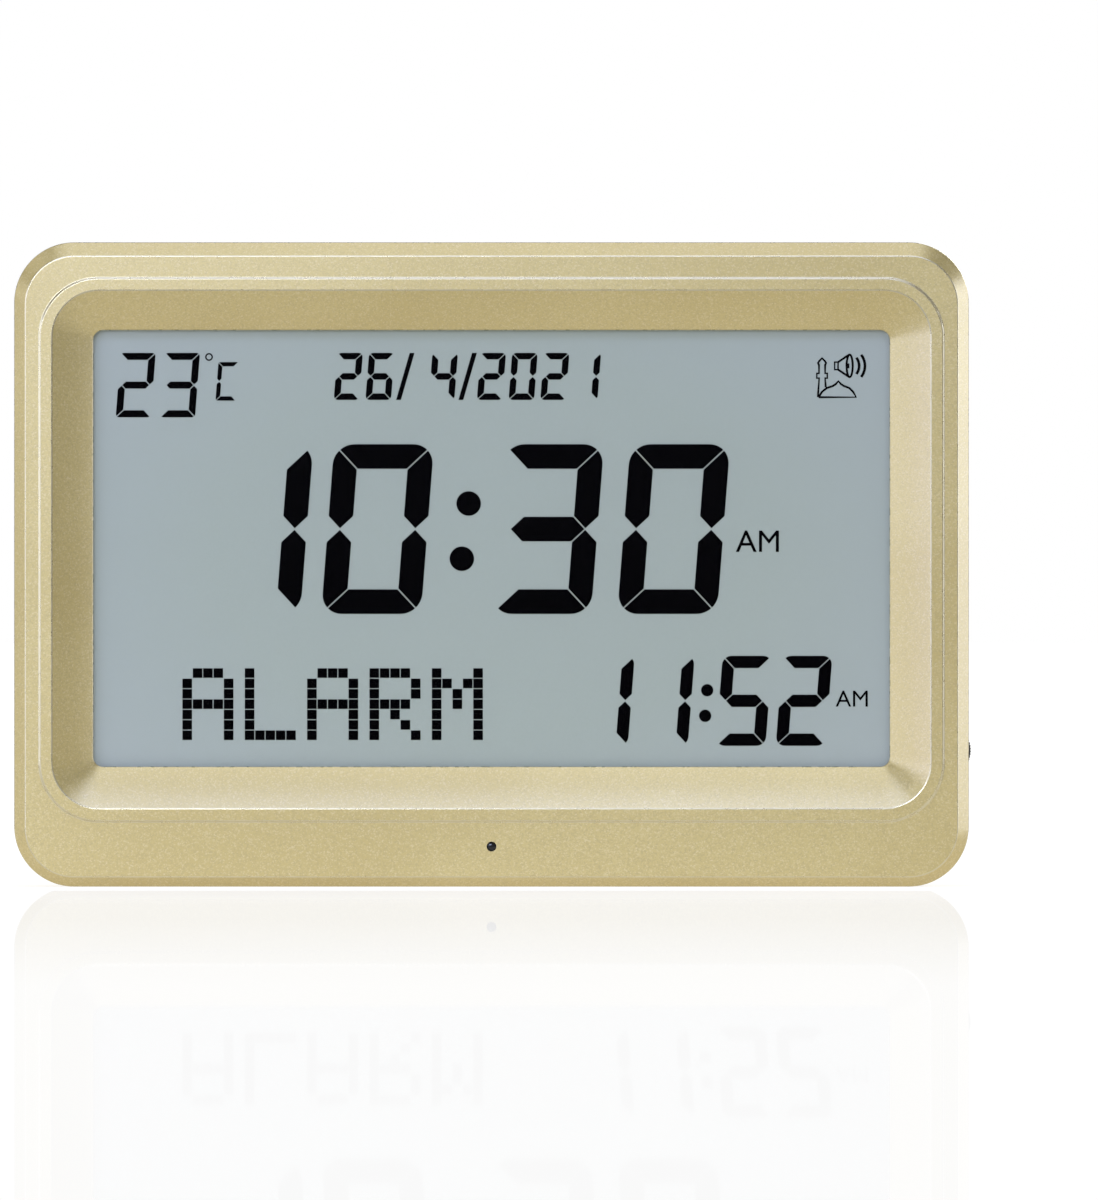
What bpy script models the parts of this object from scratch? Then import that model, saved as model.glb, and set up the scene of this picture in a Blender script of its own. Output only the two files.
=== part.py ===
"""Azan clock: a table and wall clock with a wide display in a dished, painted bezel.

Metres, +Z up. The front looks towards -Y, and the origin is the middle of the flat base.
Depths are measured backwards from the front plane, and margins inwards from the body's outline.
"""

import math
from dataclasses import dataclass

import bmesh
import bpy
from mathutils import Euler, Vector

# Fits shared by all pieces
CLEARANCE = 0.0003
OVERRUN = 0.001
WELD = 0.000001

# Body
BODY_WIDTH = 0.280
BODY_HEIGHT = 0.189
BODY_RADIUS = 0.0176
WALL = 0.0022
SEAM_DEPTH = 0.0140
SEAM_TONGUE = 0.0020
SEAM_TONGUE_WALL = 0.0010
REAR_ROUNDING = 0.0030

# Front bezel, from its edge to the window
EDGE_BEVEL_WIDTH = 0.0035
EDGE_BEVEL_DEPTH = 0.0035
STEP_HEIGHT = 0.0004
STEP_RUN = 0.0003
STEP_RADIUS = 0.0176
STEP_SIDE_MARGIN = 0.0076
STEP_TOP_MARGIN = 0.0105
STEP_BOTTOM_MARGIN = 0.0190
SLOPE_RADIUS = 0.0138
SLOPE_SIDE_MARGIN = 0.0111
SLOPE_TOP_MARGIN = 0.0141
SLOPE_BOTTOM_MARGIN = 0.0229
WINDOW_RADIUS = 0.0029
WINDOW_SIDE_MARGIN = 0.0232
WINDOW_TOP_MARGIN = 0.0258
WINDOW_BOTTOM_MARGIN = 0.0352
DISH_DEPTH = 0.0060
LIP_DEPTH = 0.0008
SENSOR_HOLE_DIAMETER = 0.0029
SENSOR_HEIGHT = 0.0118

# Case screws and their bosses
SCREW_MARGIN = 0.0110
SCREW_DIAMETER = 0.0030
SCREW_LENGTH = 0.0120
SCREW_HEAD_DIAMETER = 0.0054
SCREW_HEAD_THICKNESS = 0.0020
SCREW_SEAT_THICKNESS = 0.0055
SCREW_DRIVE_DEPTH = 0.0012
SCREW_DRIVE_WIDTH = 0.0008
SCREW_CROWN_SHARE = 0.9
FRONT_BOSS_DIAMETER = 0.0070
REAR_BOSS_DIAMETER = 0.0086
BOSS_ROOT_SHARE = 0.9

# Display stack
LENS_THICKNESS = 0.0015
LENS_OVERLAP = 0.0030
GLASS_THICKNESS = 0.0011
GLASS_OVERLAP = 0.0020
GLASS_LEDGE = 0.0030
GUIDE_THICKNESS = 0.0025
REFLECTOR_THICKNESS = 0.0004
HOLDER_FLOOR = 0.0014
HOLDER_WALL = 0.0016
HOLDER_EAR_WIDTH = 0.0080
HOLDER_EAR_HEIGHT = 0.0300
HOLDER_PEG_DIAMETER = 0.0026
HOLDER_PEG_MARGIN = 0.0060
ELASTOMER_LENGTH = 0.2000
LAMP_SIZE = 0.0020
LAMP_DEPTH = 0.0012
LAMP_STRIP_THICKNESS = 0.0010
LAMP_PITCH = 0.0140
BOARD_THICKNESS = 0.0016

# Parts on the main board
CONTROL_CHIP_SIZE = 0.0140
CONTROL_CHIP_THICKNESS = 0.0014
CHIP_BEVEL = 0.0003
VOICE_CHIP_LENGTH = 0.0100
VOICE_CHIP_WIDTH = 0.0060
CRYSTAL_LENGTH = 0.0110
CRYSTAL_WIDTH = 0.0045
CRYSTAL_HEIGHT = 0.0035
CAPACITOR_DIAMETER = 0.0063
CAPACITOR_HEIGHT = 0.0075
CAPACITOR_GROOVE = 0.0004
CAPACITOR_PITCH = 0.0090
PROBE_DIAMETER = 0.0030
PROBE_CROWN_SHARE = 0.9
PART_SPACING = 0.0180
PART_ROW_RISE = 0.0300

# Battery bay, three cells side by side under a hatch
CELL_DIAMETER = 0.0145
CELL_LENGTH = 0.0493
CELL_BUTTON_DIAMETER = 0.0055
CELL_BUTTON_LENGTH = 0.0012
CELL_ROUNDING = 0.0006
CELL_SPACING = 0.0006
CELL_COUNT = 3
BAY_WALL = 0.0015
BAY_SIDE_MARGIN = 0.0400
BAY_RISE = 0.0190
CONTACT_THICKNESS = 0.0004
CONTACT_WIDTH = 0.0090
SPRING_LENGTH = 0.0050
SPRING_WIRE = 0.0008
SPRING_WIDE_DIAMETER = 0.0095
SPRING_NARROW_DIAMETER = 0.0060
SPRING_TURNS = 4
HATCH_THICKNESS = 0.0018
HATCH_RADIUS = 0.0020
HATCH_CORNER_STEPS = 2
HATCH_HOOK_WIDTH = 0.0080
HATCH_HOOK_THICKNESS = 0.0010
HATCH_HOOK_REACH = 0.0020
HATCH_HOOK_LEG = 0.0012
HATCH_HOOK_SPREAD = 0.0360
HATCH_TAB_WIDTH = 0.0140
HATCH_TAB_LENGTH = 0.0080
HATCH_TAB_SLIT = 0.0010
HATCH_SCOOP_RADIUS = 0.0070
HATCH_SCOOP_DEPTH = 0.0011

# Speaker, firing backwards through the grille
SPEAKER_DIAMETER = 0.0570
SPEAKER_SIDE_MARGIN = 0.0700
SPEAKER_FLANGE_WIDTH = 0.0040
SPEAKER_SHEET = 0.0008
SPEAKER_BASKET_DEPTH = 0.0062
SPEAKER_SEAT_DIAMETER = 0.0320
SPEAKER_WINDOW_WIDTH = 0.0120
MAGNET_DIAMETER = 0.0280
MAGNET_THICKNESS = 0.0048
CONE_SHEET = 0.0006
CONE_DEPTH = 0.0046
CONE_NECK_DIAMETER = 0.0150
CONE_ROLL_WIDTH = 0.0050
CONE_ROLL_HEIGHT = 0.0012
CAP_SHEET = 0.0005
CAP_RISE = 0.0030
CONE_EDGE_WIDTH = 0.0012
GASKET_THICKNESS = 0.0024
GASKET_WIDTH = 0.0022
SPEAKER_RING_WALL = 0.0016
SPEAKER_RING_HEIGHT = 0.0050
GRILLE_DIAMETER = 0.0480
GRILLE_SLOT = 0.0018
GRILLE_PITCH = 0.0042

# Folding stand
FOOT_WIDTH = 0.0900
FOOT_LENGTH = 0.0520
FOOT_THICKNESS = 0.0034
FOOT_RADIUS = 0.0060
FOOT_HINGE_HEIGHT = 0.0100
FOOT_CLEARANCE = 0.0005
FOOT_HEEL_ROOM = 0.0008
FOOT_SKIN = 0.0016
FOOT_RIB = 0.0020
FOOT_CELLS = 4
PIN_DIAMETER = 0.0018
PIN_SEAT = 0.0030
POCKET_WALL = 0.0015
NOTCH_WIDTH = 0.0200
NOTCH_HEIGHT = 0.0080
NOTCH_DEPTH = 0.0065

# Keys in their shallow panel
KEY_COUNT = 5
KEY_DIAMETER = 0.0070
KEY_PITCH = 0.0130
KEY_TRAVEL = 0.0005
KEY_PROUD = 0.0008
KEY_ROUNDING = 0.0006
KEY_FLANGE_THICKNESS = 0.0010
KEY_FLANGE_WIDTH = 0.0012
KEY_STEM_DIAMETER = 0.0030
KEY_STEM_LENGTH = 0.0012
KEY_PANEL_DEPTH = 0.0012
KEY_PANEL_HEIGHT = 0.0130
KEY_PANEL_RADIUS = 0.0030
KEY_PANEL_SPACING = 0.0060
KEY_PANEL_FLOOR = 0.0018
SWITCH_SIZE = 0.0060
SWITCH_HEIGHT = 0.0035
SWITCH_PLUNGER_DIAMETER = 0.0034
SWITCH_PLUNGER_HEIGHT = 0.0012
KEY_BOARD_HEIGHT = 0.0120
KEY_POST_DIAMETER = 0.0050

# Volume wheel
WHEEL_DIAMETER = 0.0160
WHEEL_THICKNESS = 0.0030
WHEEL_PROUD = 0.0009
WHEEL_HEIGHT = 0.0399
WHEEL_TOOTH_DEPTH = 0.00025
WHEEL_TEETH = 60
WHEEL_ROOM = 0.0006
WHEEL_FROM_SEAM = 0.0055
SHAFT_DIAMETER = 0.0030
POT_SIZE = 0.0095
POT_THICKNESS = 0.0035
VOLUME_BOARD_WIDTH = 0.0150
VOLUME_BOARD_HEIGHT = 0.0220
VOLUME_BOARD_SHIFT = 0.0060
VOLUME_POST_DIAMETER = 0.0040
VOLUME_POST_SPACING = 0.0160

# Wall hangers
KEYHOLE_SPACING = 0.0600
KEYHOLE_TOP_MARGIN = 0.0260
KEYHOLE_HEAD_DIAMETER = 0.0090
KEYHOLE_SLOT_WIDTH = 0.0045
KEYHOLE_SLOT_LENGTH = 0.0080
KEYHOLE_DEPTH = 0.0060
KEYHOLE_WALL = 0.0012

# Vents beside the temperature probe
VENT_COUNT = 5
VENT_WIDTH = 0.0180
VENT_SLOT = 0.0012
VENT_PITCH = 0.0032
VENT_HEIGHT = 0.0300

# Light sensor behind its hole under the window
SENSOR_FLANGE_DIAMETER = 0.0050
SENSOR_FLANGE_THICKNESS = 0.0020
SENSOR_SINK = 0.0004
SENSOR_CUP_WALL = 0.0012

# Facets
CORNER_STEPS = 8
FINE_SIDES = 40
ROUND_SIDES = 20
SMALL_SIDES = 12
SPRING_POINTS = 9
ROUNDING_STEPS = 4

# Depths of the stack, each face a clearance behind the one before it
BAND_DEPTH = STEP_HEIGHT
LEDGE_DEPTH = DISH_DEPTH + LIP_DEPTH
LENS_FRONT = LEDGE_DEPTH + CLEARANCE
LENS_REAR = LENS_FRONT + LENS_THICKNESS
HOLDER_FRONT = LENS_REAR + CLEARANCE
FRONT_GLASS_FRONT = LENS_REAR + CLEARANCE
FRONT_GLASS_REAR = FRONT_GLASS_FRONT + GLASS_THICKNESS
REAR_GLASS_FRONT = FRONT_GLASS_REAR + CLEARANCE
REAR_GLASS_REAR = REAR_GLASS_FRONT + GLASS_THICKNESS
GUIDE_FRONT = REAR_GLASS_REAR + CLEARANCE
GUIDE_REAR = GUIDE_FRONT + GUIDE_THICKNESS
REFLECTOR_FRONT = GUIDE_REAR + CLEARANCE
REFLECTOR_REAR = REFLECTOR_FRONT + REFLECTOR_THICKNESS
HOLDER_SEAT = REFLECTOR_REAR + CLEARANCE
HOLDER_REAR = HOLDER_SEAT + HOLDER_FLOOR
BOARD_FRONT = HOLDER_REAR + CLEARANCE
BOARD_REAR = BOARD_FRONT + BOARD_THICKNESS
BAY_FRONT = BOARD_REAR + CLEARANCE
BAY_FLOOR = BAY_FRONT + BAY_WALL
CELL_FRONT = BAY_FLOOR + CLEARANCE
CELL_REAR = CELL_FRONT + CELL_DIAMETER
HATCH_FRONT = CELL_REAR + CLEARANCE
BODY_DEPTH = HATCH_FRONT + HATCH_THICKNESS
REAR_WALL_DEPTH = BODY_DEPTH - WALL
FRONT_Y = -BODY_DEPTH / 2
HALF_WIDTH = BODY_WIDTH / 2

# The display's outlines
GLASS_HALF_WIDTH = HALF_WIDTH - WINDOW_SIDE_MARGIN + GLASS_OVERLAP
GLASS_BOTTOM = WINDOW_BOTTOM_MARGIN - GLASS_OVERLAP - GLASS_LEDGE
GLASS_TOP = BODY_HEIGHT - WINDOW_TOP_MARGIN + GLASS_OVERLAP + GLASS_LEDGE
CORE_BOTTOM = GLASS_BOTTOM + GLASS_LEDGE
CORE_TOP = GLASS_TOP - GLASS_LEDGE
HOLDER_HALF_WIDTH = GLASS_HALF_WIDTH + CLEARANCE + HOLDER_WALL
HOLDER_BOTTOM = GLASS_BOTTOM - CLEARANCE - HOLDER_WALL
HOLDER_TOP = GLASS_TOP + CLEARANCE + HOLDER_WALL
WINDOW_MIDDLE = (WINDOW_BOTTOM_MARGIN + BODY_HEIGHT - WINDOW_TOP_MARGIN) / 2

# The battery bay's room and the hatch over it
CELL_PITCH = CELL_DIAMETER + CELL_SPACING
CONTACT_ROOM = CONTACT_THICKNESS + 2 * CLEARANCE
BAY_LENGTH = CELL_LENGTH + CELL_BUTTON_LENGTH + SPRING_LENGTH + 2 * CONTACT_ROOM + 2 * CLEARANCE
BAY_HEIGHT = CELL_COUNT * CELL_PITCH + CELL_SPACING
BAY_LEFT = -HALF_WIDTH + BAY_SIDE_MARGIN
BAY_RIGHT = BAY_LEFT + BAY_LENGTH
BAY_MIDDLE_X = (BAY_LEFT + BAY_RIGHT) / 2
BAY_BOTTOM = BODY_HEIGHT / 2 + BAY_RISE - BAY_HEIGHT / 2
BAY_TOP = BAY_BOTTOM + BAY_HEIGHT
BAY_HOOK_ROOM = HATCH_HOOK_REACH + 2 * CLEARANCE
HATCH_LEFT = BAY_LEFT + CLEARANCE
HATCH_RIGHT = BAY_RIGHT - CLEARANCE
HATCH_BOTTOM = BAY_BOTTOM + CLEARANCE
HATCH_TOP = BAY_TOP - CLEARANCE

# The speaker's place
SPEAKER_X = HALF_WIDTH - SPEAKER_SIDE_MARGIN
SPEAKER_Z = BODY_HEIGHT / 2 + BAY_RISE
GASKET_REAR = REAR_WALL_DEPTH - CLEARANCE
GASKET_FRONT = GASKET_REAR - GASKET_THICKNESS
FLANGE_REAR = GASKET_FRONT - CLEARANCE
FLANGE_FRONT = FLANGE_REAR - SPEAKER_SHEET

# The stand's hinge line and its pocket
FOOT_AXIS_DEPTH = BODY_DEPTH - FOOT_THICKNESS / 2
POCKET_HALF_WIDTH = FOOT_WIDTH / 2 + FOOT_CLEARANCE
POCKET_BOTTOM = FOOT_HINGE_HEIGHT - FOOT_THICKNESS / 2 - FOOT_HEEL_ROOM
POCKET_TOP = FOOT_HINGE_HEIGHT + FOOT_LENGTH + FOOT_CLEARANCE
POCKET_DEPTH = BODY_DEPTH - FOOT_THICKNESS - FOOT_CLEARANCE

# The keys' panel and the depths of what lies behind it
KEY_PANEL_BOTTOM = POCKET_TOP + NOTCH_HEIGHT + POCKET_WALL + KEY_PANEL_SPACING
KEY_ROW_HEIGHT = KEY_PANEL_BOTTOM + KEY_PANEL_HEIGHT / 2
KEY_PANEL_HALF_LENGTH = KEY_COUNT * KEY_PITCH / 2
KEY_PANEL_REAR = BODY_DEPTH - KEY_PANEL_DEPTH
KEY_PANEL_INSIDE = KEY_PANEL_REAR - KEY_PANEL_FLOOR
KEY_FLANGE_REAR = KEY_PANEL_INSIDE - CLEARANCE
KEY_FLANGE_FRONT = KEY_FLANGE_REAR - KEY_FLANGE_THICKNESS
KEY_STEM_END = KEY_FLANGE_FRONT - KEY_STEM_LENGTH
PLUNGER_END = KEY_STEM_END - KEY_TRAVEL - CLEARANCE
SWITCH_REAR = PLUNGER_END - SWITCH_PLUNGER_HEIGHT
SWITCH_FRONT = SWITCH_REAR - SWITCH_HEIGHT
KEY_BOARD_REAR = SWITCH_FRONT - CLEARANCE
KEY_BOARD_FRONT = KEY_BOARD_REAR - BOARD_THICKNESS
KEY_POST_X = KEY_PANEL_HALF_LENGTH + KEY_POST_DIAMETER / 2

# The volume wheel's centre and depths
WHEEL_X = HALF_WIDTH + WHEEL_PROUD - WHEEL_DIAMETER / 2
WHEEL_FRONT = SEAM_DEPTH + WHEEL_FROM_SEAM
WHEEL_REAR = WHEEL_FRONT + WHEEL_THICKNESS
POT_FRONT = WHEEL_REAR + CLEARANCE
POT_REAR = POT_FRONT + POT_THICKNESS
VOLUME_BOARD_FRONT = POT_REAR + CLEARANCE
VOLUME_BOARD_REAR = VOLUME_BOARD_FRONT + BOARD_THICKNESS
VOLUME_BOARD_X = WHEEL_X - VOLUME_BOARD_SHIFT

# Rotations that lay a local Z axis along the body's depth or width
ALONG_DEPTH = Euler((-math.pi / 2, 0, 0))
ALONG_WIDTH = Euler((0, math.pi / 2, 0))
FACING_FRONT = Euler((math.pi / 2, 0, 0))


@dataclass(frozen=True)
class Ring:
    """A rounded rectangle round the body, by its margins, its corner radius and its depth."""

    side: float
    top: float
    bottom: float
    radius: float
    depth: float


@dataclass(frozen=True)
class Finish:
    """A plain surface: linear colour, roughness and metallic value."""

    name: str
    colour: tuple
    roughness: float
    metallic: float = 0.0


GOLD_PAINT = Finish("gold_paint", (0.57, 0.47, 0.25), 0.38, 0.7)
BLACK_PLASTIC = Finish("black_plastic", (0.02, 0.02, 0.02), 0.45)
GREY_PLASTIC = Finish("grey_plastic", (0.35, 0.35, 0.34), 0.5)
WHITE_PLASTIC = Finish("white_plastic", (0.8, 0.8, 0.78), 0.5)
CLEAR_PLASTIC = Finish("clear_plastic", (0.85, 0.88, 0.88), 0.05)
DISPLAY_GLASS = Finish("display_glass", (0.35, 0.41, 0.44), 0.15)
CIRCUIT_BOARD = Finish("circuit_board", (0.05, 0.22, 0.1), 0.5)
RUBBER = Finish("rubber", (0.04, 0.04, 0.045), 0.8)
STEEL = Finish("steel", (0.6, 0.6, 0.6), 0.3, 1.0)
CELL_JACKET = Finish("cell_jacket", (0.1, 0.16, 0.3), 0.35)
FERRITE = Finish("ferrite", (0.06, 0.06, 0.06), 0.6)
CONE_PAPER = Finish("cone_paper", (0.03, 0.03, 0.03), 0.85)


def y_at(depth):
    """The world Y of a depth behind the front plane."""
    return FRONT_Y + depth


def clear_scene():
    for obj in list(bpy.data.objects):
        bpy.data.objects.remove(obj, do_unlink=True)


clear_scene()
# Both join the scene last, so that no Boolean is worked out while pieces are still being made
PARTS = bpy.data.collections.new("azan_clock")
CUTTERS = bpy.data.collections.new("cutters")


def material_of(finish):
    found = bpy.data.materials.get(finish.name)
    if found:
        return found
    made = bpy.data.materials.new(finish.name)
    made.use_nodes = True
    shader = made.node_tree.nodes["Principled BSDF"]
    shader.inputs["Base Color"].default_value = (*finish.colour, 1)
    shader.inputs["Roughness"].default_value = finish.roughness
    shader.inputs["Metallic"].default_value = finish.metallic
    return made


def place(name, mesh, location=(0, 0, 0), rotation=None):
    """A new object of this mesh, not yet in a collection."""
    obj = bpy.data.objects.new(name, mesh)
    obj.location = location
    if rotation:
        obj.rotation_euler = rotation
    return obj


def piece(obj, finish):
    """Adds an object to the clock with its material."""
    obj.data.materials.clear()
    obj.data.materials.append(material_of(finish))
    PARTS.objects.link(obj)
    return obj


def smooth(obj, angle=math.radians(30)):
    obj.data.shade_smooth()
    obj.data.set_sharp_from_angle(angle=angle)
    return obj


def mesh_from(name, build):
    """A mesh that the given function fills through bmesh."""
    mesh = bpy.data.meshes.new(name)
    shape = bmesh.new()
    build(shape)
    shape.to_mesh(mesh)
    shape.free()
    return mesh


def block(name, x, depth, z):
    """A box between two widths, two depths and two heights, with its origin in its middle."""
    size = Vector((x[1] - x[0], depth[1] - depth[0], z[1] - z[0]))
    middle = ((x[0] + x[1]) / 2, y_at((depth[0] + depth[1]) / 2), (z[0] + z[1]) / 2)

    def build(shape):
        cube = bmesh.ops.create_cube(shape, size=1)
        bmesh.ops.scale(shape, vec=size, verts=cube["verts"])

    return place(name, mesh_from(name, build), middle)


def rod(name, diameter, length, location, rotation, sides=ROUND_SIDES):
    """A cylinder whose middle is at the location."""

    def build(shape):
        bmesh.ops.create_cone(
            shape,
            cap_ends=True,
            segments=sides,
            radius1=diameter / 2,
            radius2=diameter / 2,
            depth=length,
        )

    return place(name, mesh_from(name, build), location, rotation)


def depth_rod(name, diameter, x, depth, z, sides=ROUND_SIDES):
    """A cylinder along the body's depth, between two depths."""
    middle = (x, y_at((depth[0] + depth[1]) / 2), z)
    return rod(name, diameter, abs(depth[1] - depth[0]), middle, ALONG_DEPTH, sides)


def rounded_outline(width, height, radius, steps=CORNER_STEPS):
    """The points of a rounded rectangle about the origin, anticlockwise."""
    points = []
    centres = (
        (width / 2 - radius, height / 2 - radius),
        (radius - width / 2, height / 2 - radius),
        (radius - width / 2, radius - height / 2),
        (width / 2 - radius, radius - height / 2),
    )
    for quarter, (x, z) in enumerate(centres):
        for step in range(steps + 1):
            angle = (quarter + step / steps) * math.pi / 2
            points.append((x + radius * math.cos(angle), z + radius * math.sin(angle)))
    return points


def mesh_of_curve(obj):
    """The welded mesh of a curve object, which is removed."""
    bpy.context.scene.collection.objects.link(obj)
    graph = bpy.context.evaluated_depsgraph_get()
    mesh = bpy.data.meshes.new_from_object(obj.evaluated_get(graph))
    shape = bmesh.new()
    shape.from_mesh(mesh)
    bmesh.ops.remove_doubles(shape, verts=shape.verts, dist=WELD)
    shape.to_mesh(mesh)
    shape.free()
    name = obj.name
    location = obj.location.copy()
    rotation = obj.rotation_euler.copy()
    bpy.data.objects.remove(obj, do_unlink=True)
    return place(name, mesh, location, rotation)


def sheet(name, outline, depth, middle):
    """A flat plate of this outline between two depths, its origin at the middle given by x and z."""
    curve = bpy.data.curves.new(name, "CURVE")
    curve.dimensions = "2D"
    curve.fill_mode = "BOTH"
    curve.extrude = (depth[1] - depth[0]) / 2
    spline = curve.splines.new("POLY")
    spline.points.add(len(outline) - 1)
    for point, (x, z) in zip(spline.points, outline):
        point.co = (x, z, 0, 1)
    spline.use_cyclic_u = True
    obj = place(name, curve, (middle[0], y_at((depth[0] + depth[1]) / 2), middle[1]), FACING_FRONT)
    return mesh_of_curve(obj)


def plate(name, x, depth, z, radius, steps=CORNER_STEPS):
    """A rounded plate between two widths, two depths and two heights."""
    outline = rounded_outline(x[1] - x[0], z[1] - z[0], radius, steps)
    return sheet(name, outline, depth, ((x[0] + x[1]) / 2, (z[0] + z[1]) / 2))


def turned(name, profile, location, rotation, closed=False, sides=ROUND_SIDES):
    """A profile of (radius, height) points, top to bottom on its outer side, turned round local Z."""

    def build(shape):
        points = [shape.verts.new((radius, 0, height)) for radius, height in profile]
        for first, second in zip(points, points[1:]):
            shape.edges.new((first, second))
        if closed:
            shape.edges.new((points[-1], points[0]))

    obj = place(name, mesh_from(name, build), location, rotation)
    screw = obj.modifiers.new("Turn", "SCREW")
    screw.axis = "Z"
    screw.steps = sides
    screw.render_steps = sides
    screw.use_merge_vertices = True
    screw.merge_threshold = WELD
    return obj


def wire(name, points, diameter):
    """A round wire through these points."""
    curve = bpy.data.curves.new(name, "CURVE")
    curve.dimensions = "3D"
    curve.bevel_depth = diameter / 2
    curve.bevel_resolution = 1
    curve.use_fill_caps = True
    spline = curve.splines.new("POLY")
    spline.points.add(len(points) - 1)
    for point, place_of in zip(spline.points, points):
        point.co = (*place_of, 1)
    return mesh_of_curve(place(name, curve))


def ring_points(ring):
    """The points of a ring in world space, seen from the front anticlockwise."""
    width = BODY_WIDTH - 2 * ring.side
    height = BODY_HEIGHT - ring.top - ring.bottom
    rise = (ring.bottom + BODY_HEIGHT - ring.top) / 2
    outline = rounded_outline(width, height, ring.radius)
    return [(x, y_at(ring.depth), z + rise) for x, z in outline]


def loft(name, rings, capped):
    """A skin through rings of the same point count, either capped or joined end to start."""

    def build(shape):
        loops = [[shape.verts.new(point) for point in ring_points(ring)] for ring in rings]
        pairs = list(zip(loops, loops[1:]))
        if capped:
            shape.faces.new(loops[0])
            shape.faces.new(loops[-1])
        else:
            pairs.append((loops[-1], loops[0]))
        for first, second in pairs:
            for i in range(len(first)):
                j = (i + 1) % len(first)
                shape.faces.new((first[i], first[j], second[j], second[i]))
        bmesh.ops.recalc_face_normals(shape, faces=shape.faces)

    return smooth(place(name, mesh_from(name, build)))


def combine(target, operation, helpers):
    """Joins helpers to a piece, or cuts them from it, with one live Boolean."""
    group = bpy.data.collections.new(f"{target.name}_{operation.lower()}_{len(target.modifiers)}")
    CUTTERS.children.link(group)
    for helper in helpers:
        helper.hide_render = True
        helper.display_type = "WIRE"
        group.objects.link(helper)
    boolean = target.modifiers.new(operation.title(), "BOOLEAN")
    boolean.operation = operation
    boolean.operand_type = "COLLECTION"
    boolean.collection = group
    boolean.solver = "EXACT"
    return target


def fuse(target, helpers):
    return combine(target, "UNION", helpers)


def cut(target, helpers):
    return combine(target, "DIFFERENCE", helpers)


def soften(target, width, segments=2):
    bevel = target.modifiers.new("Soften", "BEVEL")
    bevel.width = width
    bevel.segments = segments
    bevel.limit_method = "ANGLE"
    return target


def even(inset, radius, depth):
    """A ring with the same margin on all sides."""
    return Ring(inset, inset, inset, radius, depth)


def step_ring(extra, depth):
    return Ring(
        STEP_SIDE_MARGIN + extra,
        STEP_TOP_MARGIN + extra,
        STEP_BOTTOM_MARGIN + extra,
        STEP_RADIUS - extra,
        depth,
    )


def slope_ring(depth):
    return Ring(SLOPE_SIDE_MARGIN, SLOPE_TOP_MARGIN, SLOPE_BOTTOM_MARGIN, SLOPE_RADIUS, depth)


def window_ring(outward, depth):
    return Ring(
        WINDOW_SIDE_MARGIN - outward,
        WINDOW_TOP_MARGIN - outward,
        WINDOW_BOTTOM_MARGIN - outward,
        WINDOW_RADIUS + outward,
        depth,
    )


def bezel_rings():
    """The bezel's section, from the seam over the front, down the dish and back along the inside."""
    tongue_outer = WALL + CLEARANCE
    tongue_inner = tongue_outer + SEAM_TONGUE_WALL
    return [
        even(0, BODY_RADIUS, SEAM_DEPTH),
        even(0, BODY_RADIUS, BAND_DEPTH + EDGE_BEVEL_DEPTH),
        even(EDGE_BEVEL_WIDTH, BODY_RADIUS - EDGE_BEVEL_WIDTH, BAND_DEPTH),
        step_ring(0, BAND_DEPTH),
        step_ring(STEP_RUN, 0),
        slope_ring(0),
        window_ring(0, DISH_DEPTH),
        window_ring(0, LEDGE_DEPTH),
        window_ring(LENS_OVERLAP + CLEARANCE, LEDGE_DEPTH),
        slope_ring(WALL),
        even(tongue_inner, BODY_RADIUS - tongue_inner, BAND_DEPTH + WALL),
        even(tongue_inner, BODY_RADIUS - tongue_inner, SEAM_DEPTH + SEAM_TONGUE),
        even(tongue_outer, BODY_RADIUS - tongue_outer, SEAM_DEPTH + SEAM_TONGUE),
        even(tongue_outer, BODY_RADIUS - tongue_outer, SEAM_DEPTH),
    ]


def case_screw_places():
    """The x and z of the six case screws."""
    x = HALF_WIDTH - SCREW_MARGIN
    heights = (SCREW_MARGIN, BODY_HEIGHT / 2, BODY_HEIGHT - SCREW_MARGIN)
    return [(side * x, z) for z in heights for side in (-1, 1)]


def holder_ear_places():
    """The x and z of the four screws that hold the display's holder."""
    x = HALF_WIDTH - SCREW_MARGIN
    return [(side * x, WINDOW_MIDDLE + up * HOLDER_EAR_HEIGHT) for up in (-1, 1) for side in (-1, 1)]


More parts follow.
